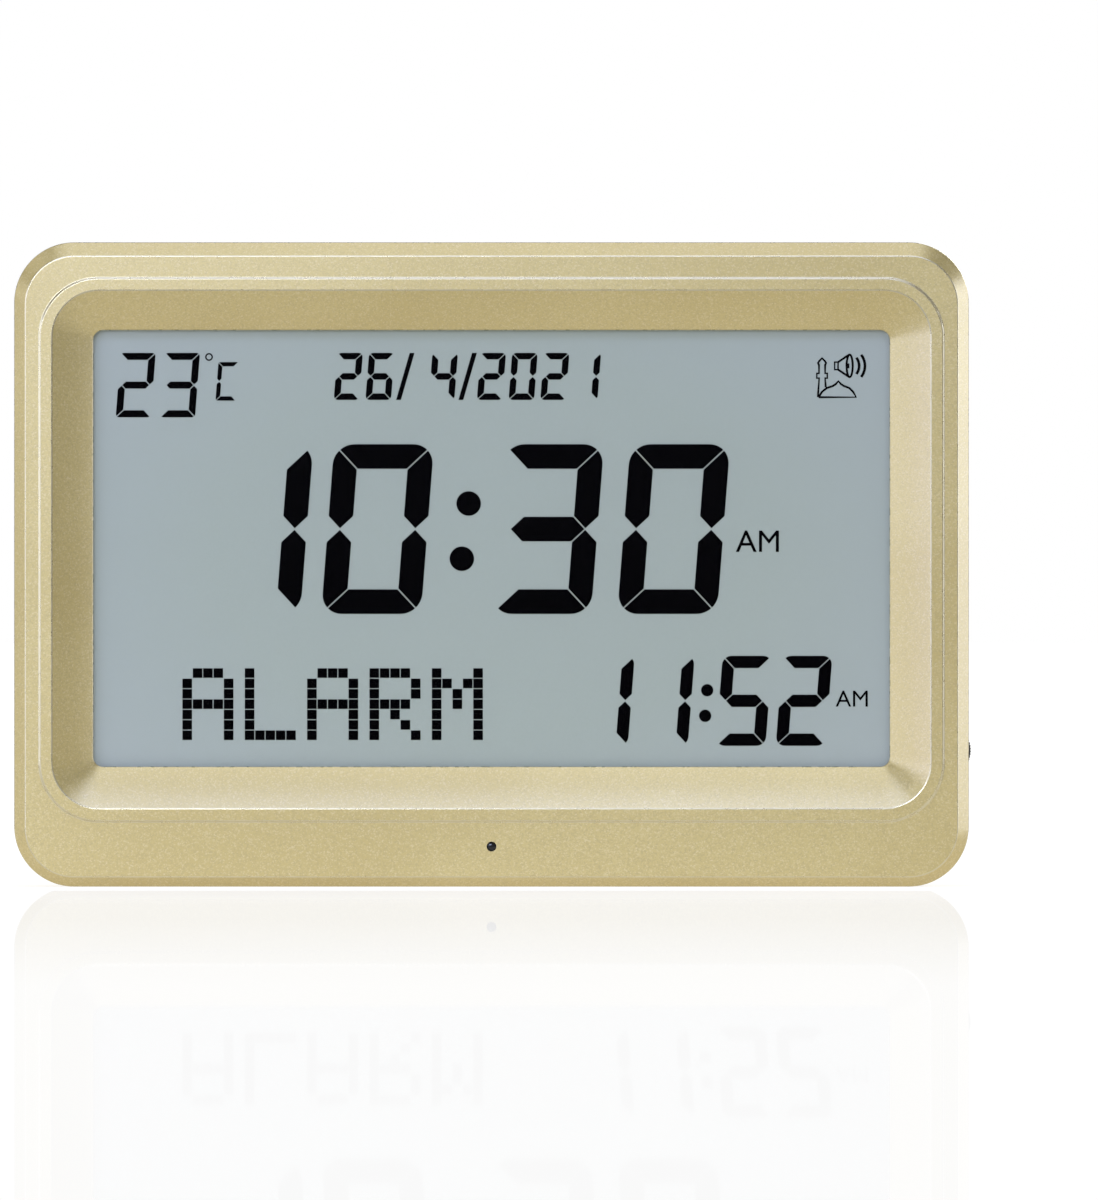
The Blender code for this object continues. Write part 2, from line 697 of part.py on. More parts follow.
def make_front_bezel():
    bezel = loft("front_bezel", bezel_rings(), capped=False)
    root = WALL * BOSS_ROOT_SHARE
    bosses = [
        depth_rod(f"case_boss_{i}", FRONT_BOSS_DIAMETER, x, (root, SEAM_DEPTH), z, SMALL_SIDES)
        for i, (x, z) in enumerate(case_screw_places())
    ]
    bosses += [
        depth_rod(f"ear_boss_{i}", FRONT_BOSS_DIAMETER, x, (root, HOLDER_SEAT - CLEARANCE), z, SMALL_SIDES)
        for i, (x, z) in enumerate(holder_ear_places())
    ]
    cup = SENSOR_FLANGE_DIAMETER + 2 * (CLEARANCE + SENSOR_CUP_WALL)
    cup_end = BAND_DEPTH + WALL + SENSOR_FLANGE_THICKNESS
    bosses.append(depth_rod("sensor_cup", cup, 0, (root, cup_end), SENSOR_HEIGHT))
    fuse(bezel, bosses)
    screw_hole = SCREW_DIAMETER + 2 * CLEARANCE
    hole_end = SEAM_DEPTH + SCREW_SEAT_THICKNESS - SCREW_LENGTH - CLEARANCE
    holes = [
        depth_rod(f"case_hole_{i}", screw_hole, x, (hole_end, SEAM_DEPTH + OVERRUN), z, SMALL_SIDES)
        for i, (x, z) in enumerate(case_screw_places())
    ]
    holes.append(
        depth_rod(
            "sensor_hole",
            SENSOR_HOLE_DIAMETER,
            0,
            (BAND_DEPTH - OVERRUN, BAND_DEPTH + WALL + OVERRUN),
            SENSOR_HEIGHT,
        )
    )
    holes.append(
        depth_rod(
            "sensor_seat",
            SENSOR_FLANGE_DIAMETER + 2 * CLEARANCE,
            0,
            (BAND_DEPTH + WALL, cup_end + OVERRUN),
            SENSOR_HEIGHT,
        )
    )
    return piece(cut(bezel, holes), GOLD_PAINT)


def make_light_sensor():
    """A dark window with a flange, seated in the cup behind the bezel's small hole."""
    stem = SENSOR_HOLE_DIAMETER / 2 - CLEARANCE
    flange = SENSOR_FLANGE_DIAMETER / 2
    front = BAND_DEPTH + SENSOR_SINK
    seat = BAND_DEPTH + WALL + CLEARANCE
    rear = seat + SENSOR_FLANGE_THICKNESS
    profile = [
        (0, rear - front),
        (flange, rear - front),
        (flange, seat - front),
        (stem, seat - front),
        (stem, 0),
        (0, 0),
    ]
    sensor = turned("light_sensor", profile, (0, y_at(front), SENSOR_HEIGHT), ALONG_DEPTH)
    return piece(smooth(sensor), BLACK_PLASTIC)


def rear_cover_rings():
    """The cover's section: rear face, rounded edge, outer wall, seam, inner wall and floor."""
    start = SEAM_DEPTH + CLEARANCE
    inner_radius = BODY_RADIUS - WALL
    rings = []
    for step in range(ROUNDING_STEPS + 1):
        angle = step / ROUNDING_STEPS * math.pi / 2
        inset = REAR_ROUNDING * (1 - math.sin(angle))
        depth = BODY_DEPTH - REAR_ROUNDING * (1 - math.cos(angle))
        rings.append(even(inset, BODY_RADIUS - inset, depth))
    rings.append(even(0, BODY_RADIUS, start))
    rings.append(even(WALL, inner_radius, start))
    rings.append(even(WALL, inner_radius, REAR_WALL_DEPTH - REAR_ROUNDING / 2))
    inset = WALL + REAR_ROUNDING / 2
    rings.append(even(inset, BODY_RADIUS - inset, REAR_WALL_DEPTH))
    return rings


def keyhole_places():
    x = KEYHOLE_SPACING / 2
    return [(-x, BODY_HEIGHT - KEYHOLE_TOP_MARGIN), (x, BODY_HEIGHT - KEYHOLE_TOP_MARGIN)]


def key_places():
    middle = (KEY_COUNT - 1) / 2
    return [(i - middle) * KEY_PITCH for i in range(KEY_COUNT)]


def volume_post_places():
    rise = VOLUME_POST_SPACING / 2
    return [(VOLUME_BOARD_X, WHEEL_HEIGHT - rise), (VOLUME_BOARD_X, WHEEL_HEIGHT + rise)]


def cover_additions():
    """What stands on the inside of the rear cover."""
    solid_end = BODY_DEPTH - WALL / 2
    added = []
    for i, (x, z) in enumerate(case_screw_places()):
        added.append(
            depth_rod(
                f"boss_{i}", REAR_BOSS_DIAMETER, x, (SEAM_DEPTH + CLEARANCE, solid_end), z, SMALL_SIDES
            )
        )
    added.append(
        block(
            "bay_box",
            (BAY_LEFT - BAY_WALL, BAY_RIGHT + BAY_WALL),
            (BAY_FRONT, solid_end),
            (BAY_BOTTOM - BAY_HOOK_ROOM - BAY_WALL, BAY_TOP + BAY_WALL),
        )
    )
    seat = POCKET_HALF_WIDTH + PIN_SEAT + POCKET_WALL
    added.append(
        block(
            "stand_box",
            (-seat, seat),
            (POCKET_DEPTH - POCKET_WALL, solid_end),
            (POCKET_BOTTOM - POCKET_WALL, POCKET_TOP + POCKET_WALL),
        )
    )
    notch = NOTCH_WIDTH / 2 + POCKET_WALL
    added.append(
        block(
            "notch_box",
            (-notch, notch),
            (BODY_DEPTH - NOTCH_DEPTH - POCKET_WALL, solid_end),
            (POCKET_TOP, POCKET_TOP + NOTCH_HEIGHT + POCKET_WALL),
        )
    )
    panel = KEY_PANEL_HALF_LENGTH + WALL
    added.append(
        block(
            "key_panel_box",
            (-panel, panel),
            (KEY_PANEL_INSIDE, solid_end),
            (KEY_PANEL_BOTTOM - WALL, KEY_PANEL_BOTTOM + KEY_PANEL_HEIGHT + WALL),
        )
    )
    for side in (-1, 1):
        added.append(
            depth_rod(
                f"key_post_{side}",
                KEY_POST_DIAMETER,
                side * KEY_POST_X,
                (KEY_BOARD_REAR + CLEARANCE, solid_end),
                KEY_ROW_HEIGHT,
                SMALL_SIDES,
            )
        )
    for i, (x, z) in enumerate(volume_post_places()):
        added.append(
            depth_rod(
                f"volume_post_{i}",
                VOLUME_POST_DIAMETER,
                x,
                (VOLUME_BOARD_REAR + CLEARANCE, solid_end),
                z,
                SMALL_SIDES,
            )
        )
    for i, (x, z) in enumerate(keyhole_places()):
        half = KEYHOLE_HEAD_DIAMETER / 2 + KEYHOLE_WALL
        top = z + KEYHOLE_SLOT_LENGTH + KEYHOLE_SLOT_WIDTH / 2 + 2 * KEYHOLE_WALL
        added.append(
            block(
                f"hanger_box_{i}",
                (x - half, x + half),
                (BODY_DEPTH - KEYHOLE_DEPTH - KEYHOLE_WALL, solid_end),
                (z - half, top),
            )
        )
    ring = SPEAKER_DIAMETER + 2 * (CLEARANCE + SPEAKER_RING_WALL)
    added.append(
        depth_rod(
            "speaker_ring",
            ring,
            SPEAKER_X,
            (REAR_WALL_DEPTH - SPEAKER_RING_HEIGHT, solid_end),
            SPEAKER_Z,
            FINE_SIDES,
        )
    )
    return added


def bay_cuts():
    """The cells' room, which runs on under the lower edge for the hatch's hooks, and the hatch's opening."""
    room = block(
        "bay_room",
        (BAY_LEFT, BAY_RIGHT),
        (BAY_FLOOR, REAR_WALL_DEPTH),
        (BAY_BOTTOM - BAY_HOOK_ROOM, BAY_TOP),
    )
    opening = plate(
        "bay_opening",
        (BAY_LEFT, BAY_RIGHT),
        (REAR_WALL_DEPTH - OVERRUN, BODY_DEPTH + OVERRUN),
        (BAY_BOTTOM, BAY_TOP),
        HATCH_RADIUS + CLEARANCE,
        HATCH_CORNER_STEPS,
    )
    scoop = depth_rod(
        "hatch_scoop",
        2 * HATCH_SCOOP_RADIUS,
        BAY_MIDDLE_X,
        (BODY_DEPTH - HATCH_SCOOP_DEPTH, BODY_DEPTH + OVERRUN),
        BAY_TOP,
    )
    return [room, opening, scoop]


def stand_cuts():
    pocket = plate(
        "stand_pocket",
        (-POCKET_HALF_WIDTH, POCKET_HALF_WIDTH),
        (POCKET_DEPTH, BODY_DEPTH + OVERRUN),
        (FOOT_HINGE_HEIGHT, POCKET_TOP),
        FOOT_RADIUS + FOOT_CLEARANCE,
    )
    heel_room = block(
        "heel_room",
        (-POCKET_HALF_WIDTH, POCKET_HALF_WIDTH),
        (POCKET_DEPTH, BODY_DEPTH + OVERRUN),
        (POCKET_BOTTOM, FOOT_HINGE_HEIGHT + 2 * FOOT_RADIUS),
    )
    notch = block(
        "finger_notch",
        (-NOTCH_WIDTH / 2, NOTCH_WIDTH / 2),
        (BODY_DEPTH - NOTCH_DEPTH, BODY_DEPTH + OVERRUN),
        (POCKET_TOP - FOOT_CLEARANCE, POCKET_TOP + NOTCH_HEIGHT),
    )
    pin_hole = rod(
        "pin_hole",
        PIN_DIAMETER + 2 * CLEARANCE,
        2 * (POCKET_HALF_WIDTH + PIN_SEAT),
        (0, y_at(FOOT_AXIS_DEPTH), FOOT_HINGE_HEIGHT),
        ALONG_WIDTH,
        SMALL_SIDES,
    )
    return [pocket, heel_room, notch, pin_hole]


def key_cuts():
    half = KEY_PANEL_HALF_LENGTH
    panel = plate(
        "key_panel",
        (-half, half),
        (KEY_PANEL_REAR, BODY_DEPTH + OVERRUN),
        (KEY_PANEL_BOTTOM, KEY_PANEL_BOTTOM + KEY_PANEL_HEIGHT),
        KEY_PANEL_RADIUS,
        ROUNDING_STEPS,
    )
    holes = [
        depth_rod(
            f"key_hole_{i}",
            KEY_DIAMETER + 2 * CLEARANCE,
            x,
            (KEY_PANEL_INSIDE - OVERRUN, KEY_PANEL_REAR + OVERRUN),
            KEY_ROW_HEIGHT,
        )
        for i, x in enumerate(key_places())
    ]
    return [panel, *holes]


def screw_cuts():
    """A narrow hole for each case screw, opened behind its seat for the head and the driver."""
    made = []
    seat = SEAM_DEPTH + SCREW_SEAT_THICKNESS
    for i, (x, z) in enumerate(case_screw_places()):
        narrow = SCREW_DIAMETER + 2 * CLEARANCE
        wide = SCREW_HEAD_DIAMETER + 2 * CLEARANCE
        made.append(depth_rod(f"screw_hole_{i}", narrow, x, (SEAM_DEPTH, seat + OVERRUN), z, SMALL_SIDES))
        made.append(depth_rod(f"driver_hole_{i}", wide, x, (seat, BODY_DEPTH + OVERRUN), z, SMALL_SIDES))
    return made


def keyhole_cuts():
    made = []
    for i, (x, z) in enumerate(keyhole_places()):
        inside = (BODY_DEPTH - KEYHOLE_DEPTH, REAR_WALL_DEPTH)
        through = (REAR_WALL_DEPTH - OVERRUN, BODY_DEPTH + OVERRUN)
        half = KEYHOLE_HEAD_DIAMETER / 2
        top = z + KEYHOLE_SLOT_LENGTH
        narrow = KEYHOLE_SLOT_WIDTH / 2
        made.append(
            block(f"hanger_room_{i}", (x - half, x + half), inside, (z - half, top + narrow + KEYHOLE_WALL))
        )
        made.append(depth_rod(f"hanger_head_{i}", KEYHOLE_HEAD_DIAMETER, x, through, z))
        made.append(block(f"hanger_slot_{i}", (x - narrow, x + narrow), through, (z, top)))
        made.append(depth_rod(f"hanger_end_{i}", KEYHOLE_SLOT_WIDTH, x, through, top, SMALL_SIDES))
    return made


def grille_cuts():
    """Level slots across a circle, each as long as the circle is wide at its height."""
    made = [
        depth_rod(
            "speaker_seat",
            SPEAKER_DIAMETER + 2 * CLEARANCE,
            SPEAKER_X,
            (REAR_WALL_DEPTH - SPEAKER_RING_HEIGHT - OVERRUN, REAR_WALL_DEPTH),
            SPEAKER_Z,
            FINE_SIDES,
        )
    ]
    radius = GRILLE_DIAMETER / 2
    rows = int((radius - GRILLE_SLOT) / GRILLE_PITCH)
    for row in range(-rows, rows + 1):
        height = row * GRILLE_PITCH
        half = math.sqrt(radius**2 - height**2)
        made.append(
            block(
                f"grille_slot_{row}",
                (SPEAKER_X - half, SPEAKER_X + half),
                (REAR_WALL_DEPTH - OVERRUN, BODY_DEPTH + OVERRUN),
                (SPEAKER_Z + height - GRILLE_SLOT / 2, SPEAKER_Z + height + GRILLE_SLOT / 2),
            )
        )
    return made


def vent_cuts():
    made = []
    for i in range(VENT_COUNT):
        z = VENT_HEIGHT + i * VENT_PITCH
        made.append(
            block(
                f"vent_{i}",
                (BAY_MIDDLE_X - VENT_WIDTH / 2, BAY_MIDDLE_X + VENT_WIDTH / 2),
                (REAR_WALL_DEPTH - OVERRUN, BODY_DEPTH + OVERRUN),
                (z, z + VENT_SLOT),
            )
        )
    return made


def wheel_cut():
    return depth_rod(
        "wheel_room",
        WHEEL_DIAMETER + 2 * WHEEL_ROOM,
        WHEEL_X,
        (WHEEL_FRONT - WHEEL_ROOM, WHEEL_REAR + WHEEL_ROOM),
        WHEEL_HEIGHT,
        FINE_SIDES,
    )


def make_rear_cover():
    cover = loft("rear_cover", rear_cover_rings(), capped=True)
    fuse(cover, cover_additions())
    cut(cover, bay_cuts())
    cut(cover, stand_cuts())
    cut(cover, key_cuts())
    cut(cover, screw_cuts())
    cut(cover, keyhole_cuts())
    cut(cover, [*grille_cuts(), *vent_cuts(), wheel_cut()])
    return piece(cover, GOLD_PAINT)


def screw_profile():
    """A pan head over a plain shank, the head's seat at height zero."""
    head = SCREW_HEAD_DIAMETER / 2
    shank = SCREW_DIAMETER / 2
    return [
        (0, SCREW_HEAD_THICKNESS),
        (head * SCREW_CROWN_SHARE, SCREW_HEAD_THICKNESS),
        (head, SCREW_HEAD_THICKNESS / 2),
        (head, 0),
        (shank, 0),
        (shank, -SCREW_LENGTH + shank),
        (0, -SCREW_LENGTH),
    ]


def make_case_screws():
    seat = SEAM_DEPTH + SCREW_SEAT_THICKNESS + CLEARANCE
    for i, (x, z) in enumerate(case_screw_places(), start=1):
        place_of = (x, y_at(seat), z)
        screw = turned(f"case_screw_{i}", screw_profile(), place_of, ALONG_DEPTH, sides=SMALL_SIDES)
        drive = (seat + SCREW_HEAD_THICKNESS - SCREW_DRIVE_DEPTH, seat + SCREW_HEAD_THICKNESS + OVERRUN)
        long = SCREW_HEAD_DIAMETER / 4
        thin = SCREW_DRIVE_WIDTH / 2
        slots = [
            block(f"drive_level_{i}", (x - long, x + long), drive, (z - thin, z + thin)),
            block(f"drive_upright_{i}", (x - thin, x + thin), drive, (z - long, z + long)),
        ]
        piece(cut(smooth(screw), slots), STEEL)


def make_display():
    """The lens and the two glasses, their light guide and reflector, from front to rear."""
    lens_half = HALF_WIDTH - WINDOW_SIDE_MARGIN + LENS_OVERLAP
    lens_z = (
        WINDOW_BOTTOM_MARGIN - LENS_OVERLAP,
        BODY_HEIGHT - WINDOW_TOP_MARGIN + LENS_OVERLAP,
    )
    glass_x = (-GLASS_HALF_WIDTH, GLASS_HALF_WIDTH)
    lamp_room = LAMP_STRIP_THICKNESS + LAMP_DEPTH + CLEARANCE
    guide_x = (-GLASS_HALF_WIDTH, GLASS_HALF_WIDTH - lamp_room)
    core_z = (CORE_BOTTOM, CORE_TOP)
    lens = plate(
        "display_lens",
        (-lens_half, lens_half),
        (LENS_FRONT, LENS_REAR),
        lens_z,
        WINDOW_RADIUS + LENS_OVERLAP,
        ROUNDING_STEPS,
    )
    piece(lens, CLEAR_PLASTIC)
    front = (FRONT_GLASS_FRONT, FRONT_GLASS_REAR)
    piece(block("lcd_front_glass", glass_x, front, (GLASS_BOTTOM, GLASS_TOP)), DISPLAY_GLASS)
    rear = (REAR_GLASS_FRONT, REAR_GLASS_REAR)
    piece(block("lcd_rear_glass", glass_x, rear, core_z), DISPLAY_GLASS)
    piece(block("light_guide", guide_x, (GUIDE_FRONT, GUIDE_REAR), core_z), CLEAR_PLASTIC)
    reflector = (REFLECTOR_FRONT, REFLECTOR_REAR)
    piece(block("reflector_sheet", glass_x, reflector, core_z), WHITE_PLASTIC)


def elastomer_heights():
    """The lower and upper connector strips' heights, each between the holder's wall and the rear glass."""
    thick = GLASS_LEDGE - 3 * CLEARANCE
    low = GLASS_BOTTOM + 2 * CLEARANCE
    high = GLASS_TOP - 2 * CLEARANCE
    return (("lower", low, low + thick), ("upper", high - thick, high))


def make_elastomers():
    half = ELASTOMER_LENGTH / 2
    depth = (FRONT_GLASS_REAR + CLEARANCE, BOARD_FRONT - CLEARANCE)
    for name, low, high in elastomer_heights():
        piece(block(f"elastomer_strip_{name}", (-half, half), depth, (low, high)), RUBBER)


def make_lamp_strip():
    """A narrow board with a row of lamps that shine into the light guide's edge."""
    right = GLASS_HALF_WIDTH
    left = right - LAMP_STRIP_THICKNESS
    strip = block("lamp_strip", (left, right), (GUIDE_FRONT, GUIDE_REAR), (CORE_BOTTOM, CORE_TOP))
    middle = (GUIDE_FRONT + GUIDE_REAR) / 2
    depth = (middle - LAMP_SIZE / 2, middle + LAMP_SIZE / 2)
    count = int((CORE_TOP - CORE_BOTTOM) / LAMP_PITCH)
    lamps = []
    for i in range(count):
        z = WINDOW_MIDDLE + (i - (count - 1) / 2) * LAMP_PITCH
        x = (left - LAMP_DEPTH, left + LAMP_STRIP_THICKNESS / 2)
        lamps.append(block(f"lamp_{i}", x, depth, (z - LAMP_SIZE / 2, z + LAMP_SIZE / 2)))
    return piece(fuse(strip, lamps), WHITE_PLASTIC)


def peg_places():
    x = GLASS_HALF_WIDTH - HOLDER_PEG_MARGIN
    low = CORE_BOTTOM + HOLDER_PEG_MARGIN
    high = CORE_TOP - HOLDER_PEG_MARGIN
    return [(side * x, z) for z in (low, high) for side in (-1, 1)]


def make_lcd_holder():
    """A tray that holds the glasses and the light guide to the bezel, with ears and board pegs."""
    holder = block(
        "lcd_holder",
        (-HOLDER_HALF_WIDTH, HOLDER_HALF_WIDTH),
        (HOLDER_FRONT, HOLDER_REAR),
        (HOLDER_BOTTOM, HOLDER_TOP),
    )
    added = []
    for i, (x, z) in enumerate(holder_ear_places()):
        near = math.copysign(HOLDER_HALF_WIDTH - HOLDER_WALL / 2, x)
        far = x + math.copysign(HOLDER_EAR_WIDTH / 2, x)
        half = HOLDER_EAR_WIDTH / 2
        added.append(
            block(
                f"ear_{i}",
                (min(near, far), max(near, far)),
                (HOLDER_SEAT, HOLDER_REAR),
                (z - half, z + half),
            )
        )
    for i, (x, z) in enumerate(peg_places()):
        depth = (HOLDER_REAR - HOLDER_FLOOR / 2, BOARD_REAR - CLEARANCE)
        added.append(depth_rod(f"peg_{i}", HOLDER_PEG_DIAMETER, x, depth, z, SMALL_SIDES))
    fuse(holder, added)
    room = block(
        "glass_room",
        (-GLASS_HALF_WIDTH - CLEARANCE, GLASS_HALF_WIDTH + CLEARANCE),
        (HOLDER_FRONT - OVERRUN, HOLDER_SEAT),
        (GLASS_BOTTOM - CLEARANCE, GLASS_TOP + CLEARANCE),
    )
    half = ELASTOMER_LENGTH / 2 + CLEARANCE
    through = (HOLDER_SEAT - OVERRUN, HOLDER_REAR + OVERRUN)
    slots = [
        block(f"slot_{name}", (-half, half), through, (low - CLEARANCE, high + CLEARANCE))
        for name, low, high in elastomer_heights()
    ]
    return piece(cut(holder, [room, *slots]), WHITE_PLASTIC)


def make_main_board():
    board = block(
        "main_board",
        (-GLASS_HALF_WIDTH, GLASS_HALF_WIDTH),
        (BOARD_FRONT, BOARD_REAR),
        (GLASS_BOTTOM, GLASS_TOP),
    )
    through = (BOARD_FRONT - OVERRUN, BOARD_REAR + OVERRUN)
    width = HOLDER_PEG_DIAMETER + 2 * CLEARANCE
    holes = [
        depth_rod(f"peg_hole_{i}", width, x, through, z, SMALL_SIDES)
        for i, (x, z) in enumerate(peg_places())
    ]
    return piece(cut(board, holes), CIRCUIT_BOARD)


def make_board_parts():
    """Chips, crystal, capacitors and the temperature probe, seated on the board's rear."""
    seat = BOARD_REAR + CLEARANCE
    row = KEY_ROW_HEIGHT + PART_ROW_RISE
    half = CONTROL_CHIP_SIZE / 2
    chip_depth = (seat, seat + CONTROL_CHIP_THICKNESS)
    chip = block("control_chip", (-half, half), chip_depth, (row - half, row + half))
    piece(soften(chip, CHIP_BEVEL, 1), BLACK_PLASTIC)
    left = -PART_SPACING
    length = VOICE_CHIP_LENGTH / 2
    width = VOICE_CHIP_WIDTH / 2
    voice = block("voice_chip", (left - width, left + width), chip_depth, (row - length, row + length))
    piece(soften(voice, CHIP_BEVEL, 1), BLACK_PLASTIC)
    right = PART_SPACING
    crystal = plate(
        "crystal_can",
        (right - CRYSTAL_LENGTH / 2, right + CRYSTAL_LENGTH / 2),
        (seat, seat + CRYSTAL_HEIGHT),
        (row - CRYSTAL_WIDTH / 2, row + CRYSTAL_WIDTH / 2),
        CRYSTAL_WIDTH / 2 - CLEARANCE,
        ROUNDING_STEPS,
    )
    piece(crystal, STEEL)
    above = row + PART_SPACING
    radius = CAPACITOR_DIAMETER / 2
    groove = CAPACITOR_HEIGHT / 4
    profile = [
        (0, CAPACITOR_HEIGHT),
        (radius, CAPACITOR_HEIGHT),
        (radius, groove + CAPACITOR_GROOVE),
        (radius - CAPACITOR_GROOVE, groove),
        (radius, groove - CAPACITOR_GROOVE),
        (radius, 0),
        (0, 0),
    ]
    for i, side in enumerate((-1, 1), start=1):
        place_of = (side * CAPACITOR_PITCH, y_at(seat), above)
        can = turned(f"capacitor_{i}", profile, place_of, ALONG_DEPTH, sides=SMALL_SIDES)
        piece(smooth(can), BLACK_PLASTIC)
    probe = turned(
        "temperature_probe",
        [
            (0, PROBE_DIAMETER),
            (PROBE_DIAMETER / 4, PROBE_DIAMETER * PROBE_CROWN_SHARE),
            (PROBE_DIAMETER / 2, PROBE_DIAMETER / 2),
            (PROBE_DIAMETER / 2, 0),
            (0, 0),
        ],
        (BAY_MIDDLE_X, y_at(seat), GLASS_BOTTOM + VENT_PITCH),
        ALONG_DEPTH,
        sides=SMALL_SIDES,
    )
    piece(smooth(probe), BLACK_PLASTIC)


def cell_heights():
    """The heights of the cells' axes, lowest first."""
    first = BAY_BOTTOM + CELL_SPACING + CELL_DIAMETER / 2
    return [first + i * CELL_PITCH for i in range(CELL_COUNT)]


def make_cells():
    """Cells laid head to tail, each with a spring at its flat end and a plate at its button."""
    radius = CELL_DIAMETER / 2
    button = CELL_BUTTON_DIAMETER / 2
    profile = [
        (0, CELL_LENGTH + CELL_BUTTON_LENGTH),
        (button, CELL_LENGTH + CELL_BUTTON_LENGTH),
        (button, CELL_LENGTH),
        (radius - CELL_ROUNDING, CELL_LENGTH),
        (radius, CELL_LENGTH - CELL_ROUNDING),
        (radius, CELL_ROUNDING),
        (radius - CELL_ROUNDING, 0),
        (0, 0),
    ]
    depth = (CELL_FRONT + CELL_REAR) / 2
    for i, z in enumerate(cell_heights(), start=1):
        way = 1 if i % 2 else -1
        wall = BAY_LEFT if way > 0 else BAY_RIGHT
        base = wall + way * (CONTACT_ROOM + SPRING_LENGTH + CLEARANCE)
        turn = Euler((0, way * math.pi / 2, 0))
        cell = turned(f"battery_{i}", profile, (base, y_at(depth), z), turn)
        piece(smooth(cell), CELL_JACKET)
        make_contacts(i, wall, way, depth, z)


def make_contacts(i, wall, way, depth, z):
    """The sprung contact behind a cell's flat end and the plate before its button."""
    half = CONTACT_WIDTH / 2
    far_wall = BAY_LEFT + BAY_RIGHT - wall
    near = far_wall - way * CLEARANCE
    far = near - way * CONTACT_THICKNESS
    x = (min(near, far), max(near, far))
    piece(block(f"contact_plate_{i}", x, (depth - half, depth + half), (z - half, z + half)), STEEL)
    points = []
    steps = SPRING_TURNS * SPRING_POINTS
    low = CONTACT_ROOM - CONTACT_THICKNESS + SPRING_WIRE / 2
    high = CONTACT_ROOM + SPRING_LENGTH - SPRING_WIRE / 2
    for step in range(steps + 1):
        share = step / steps
        angle = share * SPRING_TURNS * 2 * math.pi
        radius = (SPRING_WIDE_DIAMETER * (1 - share) + SPRING_NARROW_DIAMETER * share) / 2
        points.append(
            (
                wall + way * (low + (high - low) * share),
                y_at(depth) + radius * math.cos(angle),
                z + radius * math.sin(angle),
            )
        )
    piece(smooth(wire(f"contact_spring_{i}", points, SPRING_WIRE), math.pi), STEEL)


def make_battery_hatch():
    """The hatch, hinged on two hooks at its lower edge and held by a sprung tab at its top."""
    hatch = plate(
        "battery_hatch",
        (HATCH_LEFT, HATCH_RIGHT),
        (HATCH_FRONT, BODY_DEPTH),
        (HATCH_BOTTOM, HATCH_TOP),
        HATCH_RADIUS,
        HATCH_CORNER_STEPS,
    )
    set_origin(hatch, (BAY_MIDDLE_X, y_at(BODY_DEPTH), HATCH_BOTTOM))
    hook_rear = REAR_WALL_DEPTH - CLEARANCE
    hook_front = hook_rear - HATCH_HOOK_THICKNESS
    added = []
    for side in (-1, 1):
        x = BAY_MIDDLE_X + side * HATCH_HOOK_SPREAD / 2
        wide = (x - HATCH_HOOK_WIDTH / 2, x + HATCH_HOOK_WIDTH / 2)
        leg = (HATCH_BOTTOM, HATCH_BOTTOM + HATCH_HOOK_LEG)
        reach = (HATCH_BOTTOM - HATCH_HOOK_REACH, HATCH_BOTTOM + HATCH_HOOK_LEG / 2)
        added.append(block(f"hook_leg_{side}", wide, (hook_front, HATCH_FRONT + HATCH_THICKNESS / 2), leg))
        added.append(block(f"hook_tongue_{side}", wide, (hook_front, hook_rear), reach))
    fuse(hatch, added)
    slits = []
    for side in (-1, 1):
        x = BAY_MIDDLE_X + side * HATCH_TAB_WIDTH / 2
        slits.append(
            block(
                f"tab_slit_{side}",
                (x - HATCH_TAB_SLIT / 2, x + HATCH_TAB_SLIT / 2),
                (HATCH_FRONT - OVERRUN, BODY_DEPTH + OVERRUN),
                (HATCH_TOP - HATCH_TAB_LENGTH, HATCH_TOP + OVERRUN),
            )
        )
    return piece(cut(hatch, slits), GOLD_PAINT)


def set_origin(obj, origin):
    """Moves an object's origin to a world point without moving its mesh in the world."""
    matrix = obj.rotation_euler.to_matrix().to_4x4()
    matrix.translation = obj.location
    obj.data.transform(matrix)
    obj.rotation_euler = (0, 0, 0)
    obj.location = origin
    for vertex in obj.data.vertices:
        vertex.co -= Vector(origin)


def make_speaker():
    """Gasket, basket, cone, dust cap and magnet, all on one axis and firing backwards."""
    outer = SPEAKER_DIAMETER / 2
    rim = outer - SPEAKER_FLANGE_WIDTH
    gasket_inner = outer - GASKET_WIDTH
    gasket = [(outer, GASKET_THICKNESS), (outer, 0), (gasket_inner, 0), (gasket_inner, GASKET_THICKNESS)]
    make_coaxial("speaker_gasket", gasket, GASKET_FRONT, RUBBER, closed=True)
    seat = SPEAKER_SEAT_DIAMETER / 2
    sheet_thick = SPEAKER_SHEET
    low = -SPEAKER_BASKET_DEPTH
    neck = CONE_NECK_DIAMETER / 2 + sheet_thick
    basket = [
        (outer, sheet_thick),
        (outer, 0),
        (rim, 0),
        (seat, low),
        (neck, low),
        (neck, low + sheet_thick),
        (seat - sheet_thick, low + sheet_thick),
        (rim - sheet_thick, sheet_thick),
    ]
    frame = make_coaxial("speaker_basket", basket, FLANGE_FRONT, STEEL, closed=True)
    cut(frame, basket_windows())
    magnet = MAGNET_DIAMETER / 2
    magnet_rear = FLANGE_FRONT - SPEAKER_BASKET_DEPTH - CLEARANCE
    profile = [(0, MAGNET_THICKNESS), (magnet, MAGNET_THICKNESS), (magnet, 0), (0, 0)]
    make_coaxial("speaker_magnet", profile, magnet_rear - MAGNET_THICKNESS, FERRITE)
    make_cone(gasket_inner - CLEARANCE)


